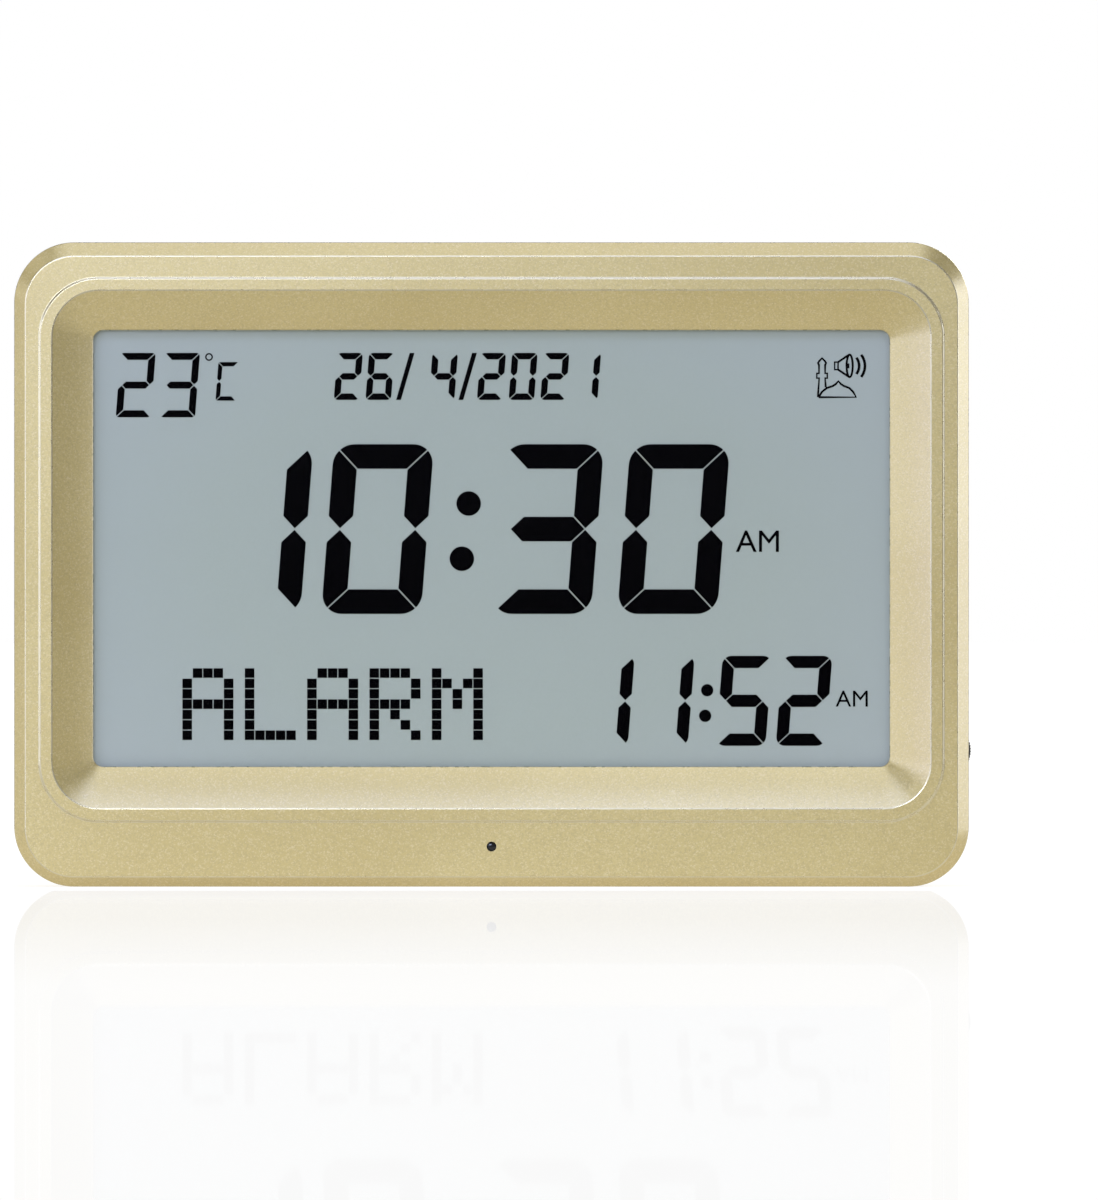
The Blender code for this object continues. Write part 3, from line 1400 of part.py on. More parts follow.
def basket_windows():
    """Four openings round the basket's sloping wall."""
    reach = SPEAKER_DIAMETER / 2 - SPEAKER_FLANGE_WIDTH
    near = SPEAKER_SEAT_DIAMETER / 2
    depth = (FLANGE_FRONT - SPEAKER_BASKET_DEPTH + 2 * SPEAKER_SHEET, FLANGE_FRONT - SPEAKER_SHEET)
    half = SPEAKER_WINDOW_WIDTH / 2
    made = []
    for side in (-1, 1):
        ends = sorted((side * near, side * reach))
        x = (SPEAKER_X + ends[0], SPEAKER_X + ends[1])
        z = (SPEAKER_Z + ends[0], SPEAKER_Z + ends[1])
        made.append(block(f"window_level_{side}", x, depth, (SPEAKER_Z - half, SPEAKER_Z + half)))
        made.append(block(f"window_upright_{side}", (SPEAKER_X - half, SPEAKER_X + half), depth, z))
    return made


def make_cone(edge):
    """A paper cone whose rolled surround rests on the basket's flange, and the cap over its neck."""
    roll_outer = edge - CONE_EDGE_WIDTH
    neck = CONE_NECK_DIAMETER / 2
    middle = roll_outer - CONE_ROLL_WIDTH / 2
    under = [(edge, 0)]
    for step in range(ROUNDING_STEPS + 1):
        angle = step / ROUNDING_STEPS * math.pi
        radius = middle + CONE_ROLL_WIDTH / 2 * math.cos(angle)
        under.append((radius, CONE_ROLL_HEIGHT * math.sin(angle)))
    under.append((neck, -CONE_DEPTH))
    over = [(radius, height + CONE_SHEET) for radius, height in reversed(under)]
    seat = FLANGE_REAR + CLEARANCE
    make_coaxial("speaker_cone", [*under, *over], seat, CONE_PAPER, closed=True)
    dome = [(0, CAP_RISE)]
    for step in range(1, ROUNDING_STEPS + 1):
        angle = step / ROUNDING_STEPS * math.pi / 2
        dome.append((neck * math.sin(angle), CAP_RISE * math.cos(angle)))
    inside = [(radius * (1 - CAP_SHEET / neck), height - CAP_SHEET) for radius, height in reversed(dome)]
    base = seat - CONE_DEPTH + CONE_SHEET + CAP_SHEET + CLEARANCE
    make_coaxial("speaker_dust_cap", [*dome, *inside], base, CONE_PAPER)


def make_coaxial(name, profile, depth, finish, closed=False):
    """A turned piece on the speaker's axis, its height zero at this depth."""
    obj = turned(
        name, profile, (SPEAKER_X, y_at(depth), SPEAKER_Z), ALONG_DEPTH, closed, 2 * SMALL_SIDES
    )
    return piece(smooth(obj), finish)


def make_stand_foot():
    """A thin plate round its hinge bore, hollowed on its inner face between ribs."""
    half = FOOT_THICKNESS / 2
    axis = FOOT_AXIS_DEPTH
    foot = plate(
        "stand_foot",
        (-FOOT_WIDTH / 2, FOOT_WIDTH / 2),
        (axis - half, axis + half),
        (FOOT_HINGE_HEIGHT, FOOT_HINGE_HEIGHT + FOOT_LENGTH),
        FOOT_RADIUS,
    )
    set_origin(foot, (0, y_at(axis), FOOT_HINGE_HEIGHT))
    hinge = (0, y_at(axis), FOOT_HINGE_HEIGHT)
    heel = block(
        "heel",
        (-FOOT_WIDTH / 2, FOOT_WIDTH / 2),
        (axis - half, axis + half),
        (FOOT_HINGE_HEIGHT, FOOT_HINGE_HEIGHT + 2 * FOOT_RADIUS),
    )
    barrel = rod("barrel", FOOT_THICKNESS, FOOT_WIDTH, hinge, ALONG_WIDTH)
    fuse(foot, [heel, barrel])
    bore = rod(
        "bore", PIN_DIAMETER + 2 * CLEARANCE, FOOT_WIDTH + OVERRUN, hinge, ALONG_WIDTH, SMALL_SIDES
    )
    cells = []
    room = FOOT_WIDTH - FOOT_RIB
    pitch = room / FOOT_CELLS
    low = FOOT_HINGE_HEIGHT + FOOT_THICKNESS
    high = FOOT_HINGE_HEIGHT + FOOT_LENGTH - FOOT_RADIUS
    for i in range(FOOT_CELLS):
        start = -room / 2 + i * pitch + FOOT_RIB / 2
        x = (start, start + pitch - FOOT_RIB)
        cells.append(block(f"cell_{i}", x, (axis - half - OVERRUN, axis + half - FOOT_SKIN), (low, high)))
    return piece(cut(foot, [bore, *cells]), BLACK_PLASTIC)


def make_stand_pin():
    length = 2 * (POCKET_HALF_WIDTH + PIN_SEAT - CLEARANCE)
    place_of = (0, y_at(FOOT_AXIS_DEPTH), FOOT_HINGE_HEIGHT)
    pin = rod("stand_pin", PIN_DIAMETER, length, place_of, ALONG_WIDTH, SMALL_SIDES)
    return piece(smooth(pin), STEEL)


def make_keys():
    """Caps that slide in the panel's holes, each over its own switch on the key board."""
    cap = KEY_DIAMETER / 2
    flange = cap + KEY_FLANGE_WIDTH
    stem = KEY_STEM_DIAMETER / 2
    top = KEY_PANEL_REAR + KEY_PROUD - KEY_FLANGE_REAR
    profile = [
        (0, top),
        (cap - KEY_ROUNDING, top),
        (cap, top - KEY_ROUNDING),
        (cap, 0),
        (flange, 0),
        (flange, -KEY_FLANGE_THICKNESS),
        (stem, -KEY_FLANGE_THICKNESS),
        (stem, -KEY_FLANGE_THICKNESS - KEY_STEM_LENGTH),
        (0, -KEY_FLANGE_THICKNESS - KEY_STEM_LENGTH),
    ]
    half = SWITCH_SIZE / 2
    z = KEY_ROW_HEIGHT
    for i, x in enumerate(key_places(), start=1):
        key = turned(f"key_cap_{i}", profile, (x, y_at(KEY_FLANGE_REAR), z), ALONG_DEPTH)
        piece(smooth(key), BLACK_PLASTIC)
        switch_depth = (SWITCH_FRONT, SWITCH_REAR)
        switch = block(f"key_switch_{i}", (x - half, x + half), switch_depth, (z - half, z + half))
        plunger_depth = (SWITCH_REAR - SWITCH_PLUNGER_HEIGHT, PLUNGER_END)
        plunger = depth_rod(f"plunger_{i}", SWITCH_PLUNGER_DIAMETER, x, plunger_depth, z, SMALL_SIDES)
        piece(fuse(switch, [plunger]), BLACK_PLASTIC)
    reach = KEY_POST_X + KEY_POST_DIAMETER / 2
    rise = KEY_BOARD_HEIGHT / 2
    board = block("key_board", (-reach, reach), (KEY_BOARD_FRONT, KEY_BOARD_REAR), (z - rise, z + rise))
    piece(board, CIRCUIT_BOARD)


def make_volume_wheel():
    """A knurled wheel on its potentiometer's shaft, showing through a slot in the side."""
    outline = []
    radius = WHEEL_DIAMETER / 2
    for i in range(2 * WHEEL_TEETH):
        reach = radius if i % 2 == 0 else radius - WHEEL_TOOTH_DEPTH
        angle = i / (2 * WHEEL_TEETH) * 2 * math.pi
        outline.append((reach * math.cos(angle), reach * math.sin(angle)))
    wheel = sheet("volume_wheel", outline, (WHEEL_FRONT, WHEEL_REAR), (WHEEL_X, WHEEL_HEIGHT))
    bore = depth_rod(
        "wheel_bore",
        SHAFT_DIAMETER + 2 * CLEARANCE,
        WHEEL_X,
        (WHEEL_FRONT - OVERRUN, WHEEL_REAR + OVERRUN),
        WHEEL_HEIGHT,
        SMALL_SIDES,
    )
    return piece(cut(wheel, [bore]), BLACK_PLASTIC)


def make_volume_control():
    """The potentiometer with its shaft, and the small board that carries it on two posts."""
    half = POT_SIZE / 2
    pot = block(
        "volume_pot",
        (WHEEL_X - half, WHEEL_X + POT_SIZE / 4),
        (POT_FRONT, POT_REAR),
        (WHEEL_HEIGHT - half, WHEEL_HEIGHT + half),
    )
    shaft_depth = (WHEEL_FRONT + CLEARANCE, POT_FRONT + POT_THICKNESS / 2)
    shaft = depth_rod("shaft", SHAFT_DIAMETER, WHEEL_X, shaft_depth, WHEEL_HEIGHT, SMALL_SIDES)
    piece(fuse(pot, [shaft]), GREY_PLASTIC)
    wide = VOLUME_BOARD_WIDTH / 2
    high = VOLUME_BOARD_HEIGHT / 2
    board = block(
        "volume_board",
        (VOLUME_BOARD_X - wide, VOLUME_BOARD_X + wide),
        (VOLUME_BOARD_FRONT, VOLUME_BOARD_REAR),
        (WHEEL_HEIGHT - high, WHEEL_HEIGHT + high),
    )
    piece(board, CIRCUIT_BOARD)


def main():
    make_front_bezel()
    make_light_sensor()
    make_rear_cover()
    make_case_screws()
    make_display()
    make_elastomers()
    make_lamp_strip()
    make_lcd_holder()
    make_main_board()
    make_board_parts()
    make_cells()
    make_battery_hatch()
    make_speaker()
    make_stand_foot()
    make_stand_pin()
    make_keys()
    make_volume_wheel()
    make_volume_control()
    for made in (PARTS, CUTTERS):
        bpy.context.scene.collection.children.link(made)


main()
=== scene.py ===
"""Azan clock: the looks of a table and wall clock with a wide display in a dished, gold painted bezel.

Metres, +Z up, the front towards -Y. Sizes are written in millimetres and turned to metres by MM.
"""

import logging
import math
from contextlib import contextmanager
from dataclasses import dataclass
from enum import Enum
from typing import Callable, Iterator, Optional, Sequence, Union

import bmesh
import bpy
from mathutils import Matrix, Vector


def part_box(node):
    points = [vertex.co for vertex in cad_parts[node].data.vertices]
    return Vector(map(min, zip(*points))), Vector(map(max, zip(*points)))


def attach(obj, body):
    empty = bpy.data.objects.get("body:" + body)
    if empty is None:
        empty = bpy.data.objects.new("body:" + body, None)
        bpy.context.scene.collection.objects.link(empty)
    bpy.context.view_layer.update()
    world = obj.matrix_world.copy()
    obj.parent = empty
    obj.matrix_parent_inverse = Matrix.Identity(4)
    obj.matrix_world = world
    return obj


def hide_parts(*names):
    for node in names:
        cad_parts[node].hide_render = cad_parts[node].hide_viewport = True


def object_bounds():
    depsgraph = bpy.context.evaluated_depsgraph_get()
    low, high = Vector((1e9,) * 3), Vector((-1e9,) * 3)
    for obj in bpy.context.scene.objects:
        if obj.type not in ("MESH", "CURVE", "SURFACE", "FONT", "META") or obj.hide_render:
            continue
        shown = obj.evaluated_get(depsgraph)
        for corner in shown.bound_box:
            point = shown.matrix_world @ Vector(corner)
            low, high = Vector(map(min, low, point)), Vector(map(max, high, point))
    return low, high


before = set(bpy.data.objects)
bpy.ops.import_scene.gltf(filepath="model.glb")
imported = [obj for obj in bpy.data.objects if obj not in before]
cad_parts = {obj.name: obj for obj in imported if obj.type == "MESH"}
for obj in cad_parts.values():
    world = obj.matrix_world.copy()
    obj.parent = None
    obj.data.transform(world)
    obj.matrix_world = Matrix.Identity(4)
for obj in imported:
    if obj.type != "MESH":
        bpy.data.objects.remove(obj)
CAD_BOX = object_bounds()

LOG = logging.getLogger("azan_clock")

MM = 0.001
# Points that lie nearer than this are one point
MERGE = 0.004 * MM
# How far a tool runs past what it cuts
OVERRUN = 1.0 * MM
COPLANAR = math.radians(1.0)
SMOOTH_ANGLE = math.radians(32.0)

WHITE = "#FFFFFF"
BLACK = "#000000"
# A noise pattern seldom leaves the middle of its range, so these spans bring out its full change
TONE_SPAN = {"From Min": 0.35, "From Max": 0.65}
GLOSS_SPAN = {"From Min": 0.3, "From Max": 0.7}
CLOUD_SPAN = {"From Min": 0.4, "From Max": 0.6}
LEAST_ROUGHNESS = 0.01

Piece = bpy.types.Object
Tree = bpy.types.NodeTree
Node = bpy.types.Node
Socket = Union[bpy.types.NodeSocket, float, tuple]


class Body(Enum):
    """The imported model's moving bodies, as far as pieces here ride on them."""

    CLOCK = "clock"
    STAND = "stand"
    HATCH = "hatch"
    WHEEL = "wheel"


class Axis(Enum):
    """A direction that a turned piece runs along, with the scale that leaves it alone."""

    X = (1, 0, 0)
    Y = (0, 1, 0)

    def along(self, distance: float) -> Vector:
        """A step of this length along the axis."""
        return Vector(self.value) * distance

    def widen(self, ratio: float) -> tuple:
        """The scale that widens a ring about the axis."""
        return tuple(1 if part else ratio for part in self.value)


def linear(colour: str) -> tuple:
    """Turns an sRGB hex colour to a linear one.

    Args:
        colour: six hex digits after a hash sign.

    Returns:
        Red, green, blue and an alpha of one.
    """
    channels = []
    for start in (1, 3, 5):
        value = int(colour[start : start + 2], 16) / 255
        channels.append(value / 12.92 if value <= 0.04045 else ((value + 0.055) / 1.055) ** 2.4)
    return (*channels, 1.0)


def per(size_mm: float) -> float:
    """The texture scale whose features are this many millimetres wide."""
    return 1 / (size_mm * MM)


def fill(tree: Tree, node: Node, inputs: dict) -> None:
    """Gives sockets of a node, by name or number, a value or another node's output each.

    Args:
        tree: the material's node tree.
        node: the node to fill in.
        inputs: a value or an output for each socket.
    """
    for key, value in inputs.items():
        if isinstance(value, bpy.types.NodeSocket):
            tree.links.new(value, node.inputs[key])
        else:
            node.inputs[key].default_value = value


def add_node(
    tree: Tree, kind: str, output: Union[int, str] = 0, inputs: Optional[dict] = None, **settings
) -> bpy.types.NodeSocket:
    """Adds a node with its settings and links.

    Args:
        tree: the node tree.
        kind: the node's type, without its ShaderNode prefix.
        output: the name or number of the output that is wanted.
        inputs: a value or another node's output for each socket, by name or number.
        **settings: the node's own properties.

    Returns:
        The output asked for.
    """
    node = tree.nodes.new(f"ShaderNode{kind}")
    for name, value in settings.items():
        setattr(node, name, value)
    fill(tree, node, inputs or {})
    return node.outputs[output]


@dataclass(frozen=True)
class Finish:
    """A surface: its name, its colours and the grain that its making leaves.

    The grain drives a slight change of tone and gloss and a slight relief.
    """

    name: str
    colour: str
    shade: str
    roughness: float
    metallic: float = 0.0
    specular: float = 0.5
    grain_mm: float = 0.4
    grain_detail: float = 3.0
    relief_mm: float = 0.01
    gloss_change: float = 0.06

    def material(self) -> bpy.types.Material:
        """The finish's material, made when it is first asked for.

        Returns:
            The material, which all its pieces share.
        """
        found = bpy.data.materials.get(self.name)
        if found:
            return found
        made = bpy.data.materials.new(self.name)
        made.use_nodes = True
        tree = made.node_tree
        place = add_node(tree, "TexCoord", "Object")
        body = {"Metallic": self.metallic, "Specular IOR Level": self.specular}
        fill(tree, tree.nodes["Principled BSDF"], {**body, **self.texture(tree, place)})
        return made

    def grain(self, tree: Tree, place: Socket) -> Socket:
        """The fine random pattern that the surface's making leaves."""
        inputs = {"Vector": place, "Scale": per(self.grain_mm), "Detail": self.grain_detail}
        return add_node(tree, "TexNoise", "Fac", inputs)

    def tone(self, tree: Tree, share: Socket) -> Socket:
        """The finish's shade where the share is zero, and its colour where it is one."""
        inputs = {0: share, 6: linear(self.shade), 7: linear(self.colour)}
        return add_node(tree, "Mix", 2, inputs, data_type="RGBA")

    def gloss(self, tree: Tree, pattern: Socket) -> Socket:
        """The roughness, which a pattern changes by the finish's own amount.

        Args:
            tree: the material's node tree.
            pattern: a pattern about 0.5.

        Returns:
            The output for the shader's roughness.
        """
        low = max(self.roughness - self.gloss_change, LEAST_ROUGHNESS)
        ends = {"To Min": low, "To Max": self.roughness + self.gloss_change}
        return add_node(tree, "MapRange", 0, {"Value": pattern, **GLOSS_SPAN, **ends})

    def relief(self, tree: Tree, height: Socket) -> Socket:
        """The normal of the surface where a pattern raises it."""
        inputs = {"Height": height, "Distance": self.relief_mm * MM, "Strength": 1.0}
        return add_node(tree, "Bump", "Normal", inputs)

    def surface(self, tree: Tree, tone: Socket, grain: Socket) -> dict:
        """The shader's inputs for a tone whose gloss and relief follow the grain."""
        return {"Base Color": tone, "Roughness": self.gloss(tree, grain), "Normal": self.relief(tree, grain)}

    def texture(self, tree: Tree, place: Socket) -> dict:
        """The shader's inputs for an even grain.

        Args:
            tree: the material's node tree.
            place: a point's place on the object.

        Returns:
            A value or an output for each of the shader's inputs.
        """
        grain = self.grain(tree, place)
        share = add_node(tree, "MapRange", 0, {"Value": grain, **TONE_SPAN})
        return self.surface(tree, self.tone(tree, share), grain)


@dataclass(frozen=True)
class MetallicLacquer(Finish):
    """Gold metallic lacquer sprayed on moulded ABS.

    Random flakes are painted pale as glints like fine sand, a painted highlight; dark grit is mixed in, the
    spray leaves a faint orange peel, and dust-fine differences in its thickness shift the tone over a few
    centimetres.
    """

    painted_glint: str = "#FBF0CF"
    painted_glint_start: float = 0.7
    painted_glint_strength: float = 0.2
    grit: str = "#B09C63"
    grit_end: float = 0.45
    grit_strength: float = 0.5
    flake_mm: float = 0.34
    flake_relief: float = 0.35
    peel_mm: float = 2.4
    cloud_mm: float = 60.0
    broad_detail: float = 1.0
    coat: float = 1.0
    coat_roughness: float = 0.3
    coat_index: float = 1.8

    def texture(self, tree: Tree, place: Socket) -> dict:
        """The shader's inputs for flakes with painted glints, orange peel, a broad change of tone and the
        clear coat.

        Args:
            tree: the material's node tree.
            place: a point's place on the object.

        Returns:
            A value or an output for each of the shader's inputs.
        """
        cells = {"Vector": place, "Scale": per(self.flake_mm), "Randomness": 1.0}
        flakes = add_node(tree, "TexVoronoi", "Color", cells)
        chance = add_node(tree, "SeparateColor", 0, {0: flakes})
        broad = {"Vector": place, "Detail": self.broad_detail}
        cloud, peel = (
            add_node(tree, "TexNoise", "Fac", {**broad, "Scale": per(size)})
            for size in (self.cloud_mm, self.peel_mm)
        )
        base = self.tone(tree, add_node(tree, "MapRange", 0, {"Value": cloud, **CLOUD_SPAN}))
        dark = {"From Max": self.grit_end, "To Min": self.grit_strength, "To Max": 0.0}
        # Pale flakes painted in at random: painted glints, a painted highlight
        bright = {"From Min": self.painted_glint_start, "To Max": self.painted_glint_strength}
        for span, colour in ((dark, self.grit), (bright, self.painted_glint)):
            share = add_node(tree, "MapRange", 0, {"Value": chance, **span})
            base = add_node(tree, "Mix", 2, {0: share, 6: base, 7: linear(colour)}, data_type="RGBA")
        raised = {0: chance, 1: self.flake_relief, 2: peel}
        height = add_node(tree, "Math", 0, raised, operation="MULTIPLY_ADD")
        return {
            "Base Color": base,
            "Roughness": self.gloss(tree, chance),
            "Normal": self.relief(tree, height),
            "Coat Weight": self.coat,
            "Coat Roughness": self.coat_roughness,
            "Coat IOR": self.coat_index,
        }


@dataclass(frozen=True)
class ClearAcrylic(Finish):
    """Moulded acrylic under a hard coat that takes away most of its mirroring.

    It mirrors more at a glancing angle, lets the rest of the light through, and wiping leaves a
    faint change of gloss.
    """

    index: float = 1.12

    def texture(self, tree: Tree, place: Socket) -> dict:
        """The shader's inputs for the wiping marks, on a surface as solid as its mirroring is strong.

        Args:
            tree: the material's node tree.
            place: a point's place on the object.

        Returns:
            A value or an output for each of the shader's inputs.
        """
        haze = self.grain(tree, place)
        mirrored = add_node(tree, "Fresnel", 0, {"IOR": self.index})
        return {"Base Color": self.tone(tree, haze), "Roughness": self.gloss(tree, haze), "Alpha": mirrored}


@dataclass(frozen=True)
class PolariserFilm(Finish):
    """The film on a liquid crystal glass: a matt grey whose tint shifts faintly towards the corners.

    An even glow, standing for the light guide behind it, lifts its tone and also fills in the bezel's shade
    on the film: partly painted light.
    """

    corner: str = "#A4ABA2"
    reach_share: float = 0.62
    height_share: float = 0.68
    tint_share: float = 0.45
    # Even glow of the film: stands for the backlight and fills in the bezel's shade, as painted light
    glow: float = 0.2

    def texture(self, tree: Tree, place: Socket) -> dict:
        """The shader's inputs for the film's fine grain, its tint towards the corners and its glow, an even
        painted light over the film.

        Args:
            tree: the material's node tree.
            place: a point's place on the object.

        Returns:
            A value or an output for each of the shader's inputs.
        """
        low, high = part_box("lcd_front_glass")
        middle = (low + high) / 2
        reach = (high - low).x * self.reach_share
        oval = {"Vector": place, "Location": middle, "Scale": (reach, reach, reach * self.height_share)}
        centred = add_node(tree, "Mapping", 0, oval, vector_type="TEXTURE")
        radial = add_node(tree, "TexGradient", "Fac", {"Vector": centred}, gradient_type="SPHERICAL")
        tint = add_node(tree, "MapRange", 0, {"Value": radial, "From Max": self.tint_share})
        grain = self.grain(tree, place)
        tones = {0: tint, 6: linear(self.corner), 7: self.tone(tree, grain)}
        tone = add_node(tree, "Mix", 2, tones, data_type="RGBA")
        glow = {"Emission Color": tone, "Emission Strength": self.glow}
        return {**self.surface(tree, tone, grain), **glow}


@dataclass(frozen=True)
class CircuitLaminate(Finish):
    """Glass epoxy board under green solder mask, with the paler lines of its copper tracks."""

    track_mm: float = 1.6
    tracks_per_field: float = 4.0
    line_share: float = 0.05

    def texture(self, tree: Tree, place: Socket) -> dict:
        """The shader's inputs for the tracks round their fields, and the mask's gloss.

        Args:
            tree: the material's node tree.
            place: a point's place on the object.

        Returns:
            A value or an output for each of the shader's inputs.
        """
        upright = {"Vector": place, "Rotation": (math.pi / 2, 0, 0)}
        fields = {
            "Vector": add_node(tree, "Mapping", 0, upright),
            "Scale": per(self.track_mm * self.tracks_per_field),
            "Mortar Size": self.line_share,
            "Color1": linear(self.colour),
            "Color2": linear(self.colour),
            "Mortar": linear(self.shade),
        }
        tracks = add_node(tree, "TexBrick", "Color", fields)
        return self.surface(tree, tracks, self.grain(tree, place))


GOLD_LACQUER = MetallicLacquer(
    "gold_metallic_lacquer", "#CCB770", "#C5AF66", 0.42, metallic=0.72, relief_mm=0.012, gloss_change=0.05
)
# Lacquer draws thin over a moulded edge and dries glossier there; its paler colour here is a painted
# highlight, so edges shine as fine bright lines
GOLD_EDGE_HIGHLIGHT = Finish(
    "gold_edge_painted_highlight", "#D4C8A2", "#D0C49C", 0.28, 0.9, grain_mm=2.4, relief_mm=0.0, gloss_change=0.02
)
ACRYLIC = ClearAcrylic(
    "clear_acrylic", "#FFFFFF", "#F6FAFC", 0.05, 1.0, grain_mm=14.0, grain_detail=2.0, gloss_change=0.02
)
POLARISER = PolariserFilm(
    "polariser_film", "#A4AC9E", "#9FA799", 0.55, specular=0.2, grain_mm=0.5, relief_mm=0.002
)
# Crystal that blocks the light lies behind the film: deep black with no shine of its own
SEGMENT_INK = Finish(
    "switched_crystal", "#040305", "#020203", 0.6, specular=0.0, grain_mm=0.6, relief_mm=0.0
)
# Moulded ABS, spark-eroded in its mould: an even, fine matt grain
BLACK_ABS = Finish("black_abs", "#1C1C1D", "#131314", 0.48, grain_mm=0.35, relief_mm=0.02)
# Resin dyed almost black and moulded smooth: a small dark drop with one clear highlight
SENSOR_RESIN = Finish("tinted_sensor_resin", "#0A0A0C", "#050506", 0.18, grain_mm=1.2, relief_mm=0.003)
# Plain moulded ABS: half matt, with hardly any grain
WHITE_ABS = Finish("white_abs", "#ECECE6", "#E2E2DA", 0.45, grain_mm=0.4)
GREY_ABS = Finish("grey_abs", "#8C8C89", "#7F7F7C", 0.5, grain_mm=0.4)
# Cast acrylic with dots printed on its rear: pale, glossy and slightly mottled
LIGHT_GUIDE_ACRYLIC = Finish("dotted_light_guide", "#E6ECEC", "#CDD6D8", 0.2, grain_mm=1.0)
LAMINATE = CircuitLaminate("green_solder_mask", "#1D6B3A", "#3C8A55", 0.35, grain_mm=0.3, relief_mm=0.004)
# Pressed silicone rubber: dark and dull
SILICONE = Finish("silicone_rubber", "#3C3C40", "#323236", 0.75, grain_mm=0.5)
# Nickel-plated spring steel: a bright warm metal with the faint unevenness of rolling
NICKEL_STEEL = Finish("nickel_plated_steel", "#CFCBC2", "#BDB8AE", 0.24, 1.0, grain_mm=0.25, relief_mm=0.004)
# Steel under blue passivated zinc: a cooler and duller metal than nickel
ZINC_SCREW_STEEL = Finish("zinc_plated_steel", "#A9ABAC", "#94979A", 0.34, 1.0, grain_mm=0.2)
# Printed shrink film over a dry cell: glossy, with the soft waves of a film drawn tight
SHRINK_FILM = Finish("printed_shrink_film", "#26457A", "#203C6C", 0.28, grain_mm=6.0, relief_mm=0.004)
# The same film printed in metallic ink
SHRINK_BAND = Finish("printed_shrink_band", "#C9A24A", "#BD953F", 0.26, 0.5, grain_mm=6.0, relief_mm=0.004)
# Ferrite pressed and fired: dark grey and dry
FERRITE = Finish("sintered_ferrite", "#3A3A3B", "#2C2C2D", 0.6, grain_mm=0.3)
# Paper pulp pressed to a cone: black and quite matt, with a felted grain
PRESSED_PULP = Finish("pressed_paper_pulp", "#262523", "#1B1A19", 0.85, grain_mm=0.8, relief_mm=0.05)


def deselect() -> None:
    """Leaves nothing selected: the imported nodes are, after they are loaded."""
    bpy.ops.object.select_all(action="DESELECT")


def activate(obj: Piece) -> None:
    """Selects one object alone and makes it active.

    Args:
        obj: the object.
    """
    deselect()
    obj.select_set(True)
    bpy.context.view_layer.objects.active = obj


@contextmanager
def editing(obj: Piece) -> Iterator[None]:
    """Opens an object in edit mode with all of it selected, and closes it again.

    Args:
        obj: the object.

    Returns:
        Nothing to use: the block runs in edit mode.
    """
    activate(obj)
    bpy.ops.object.mode_set(mode="EDIT")
    bpy.ops.mesh.select_all(action="SELECT")
    yield
    bpy.ops.object.mode_set(mode="OBJECT")


def choose(obj: Piece, kind: str, test: Callable) -> None:
    """Selects the elements that pass a test, in edit mode, and nothing else.

    Args:
        obj: the object in edit mode.
        kind: verts, edges or faces.
        test: says of an element whether it is selected.
    """
    modes = {"verts": "VERT", "edges": "EDGE", "faces": "FACE"}
    bpy.ops.mesh.select_mode(type=modes[kind])
    bpy.ops.mesh.select_all(action="DESELECT")
    shape = bmesh.from_edit_mesh(obj.data)
    for element in getattr(shape, kind):
        if test(element):
            element.select_set(True)
    shape.select_flush_mode()
    bmesh.update_edit_mesh(obj.data)


def fix_place(name: str) -> Piece:
    """Names the new primitive and moves its place into its mesh.

    Args:
        name: its new name.

    Returns:
        The primitive.
    """
    obj = bpy.context.object
    obj.name = name
    obj.data.name = name
    bpy.ops.object.transform_apply(location=True, rotation=True, scale=True)
    return obj


def close_up(obj: Piece) -> Piece:
    """Merges an object's doubles and turns its faces outwards.

    Args:
        obj: the object to change.

    Returns:
        The same object.
    """
    with editing(obj):
        bpy.ops.mesh.remove_doubles(threshold=MERGE)
        bpy.ops.mesh.normals_make_consistent(inside=False)
    return obj


def modify(obj: Piece, kind: str, **settings) -> Piece:
    """Adds a modifier and applies it.

    Args:
        obj: the object to change.
        kind: the modifier's type.
        **settings: the modifier's properties.

    Returns:
        The same object.
    """
    activate(obj)
    modifier = obj.modifiers.new(kind.title(), kind)
    for name, value in settings.items():
        setattr(modifier, name, value)
    bpy.ops.object.modifier_apply(modifier=modifier.name)
    return obj


def soften(
    obj: Piece, width_mm: float, segments: int = 2, angle: float = 30.0, material: int = -1
) -> Piece:
    """Rounds an object's sharp edges and keeps its flat faces shaded flat.

    Args:
        obj: the object to change.
        width_mm: the rounding's width.
        segments: how many faces round each edge.
        angle: the least angle, in degrees, between the faces of an edge that is rounded.
        material: the number of the rounding's own material, or -1 for that of the faces beside it.

    Returns:
        The same object.
    """
    smooth(obj)
    settings = {
        "width": width_mm * MM,
        "segments": segments,
        "limit_method": "ANGLE",
        "angle_limit": math.radians(angle),
        "harden_normals": True,
        "material": material,
    }
    return modify(obj, "BEVEL", **settings)


def smooth(obj: Piece) -> Piece:
    """Shades an object smooth, apart from its sharp edges.

    Args:
        obj: the object to change.

    Returns:
        The same object.
    """
    activate(obj)
    bpy.ops.object.shade_smooth_by_angle(angle=SMOOTH_ANGLE)
    return obj


def combine(obj: Piece, operation: str, tools: Sequence[Piece]) -> Piece:
    """Joins tools to an object, cuts them from it or keeps what they share with it.

    Args:
        obj: the object to change.
        operation: UNION, DIFFERENCE or INTERSECT.
        tools: closed objects, used up.

    Returns:
        The same object.
    """
    for tool in tools:
        modify(obj, "BOOLEAN", operation=operation, object=tool, solver="EXACT")
        bpy.data.objects.remove(tool, do_unlink=True)
    return obj


def join(name: str, objects: Sequence[Piece]) -> Piece:
    """Makes one object of several, under a new name.

    Args:
        name: the new name.
        objects: the objects, used up apart from the first.

    Returns:
        The joined object.
    """
    activate(objects[0])
    for obj in objects[1:]:
        obj.select_set(True)
    if len(objects) > 1:
        bpy.ops.object.join()
    objects[0].name = name
    objects[0].data.name = name
    return objects[0]


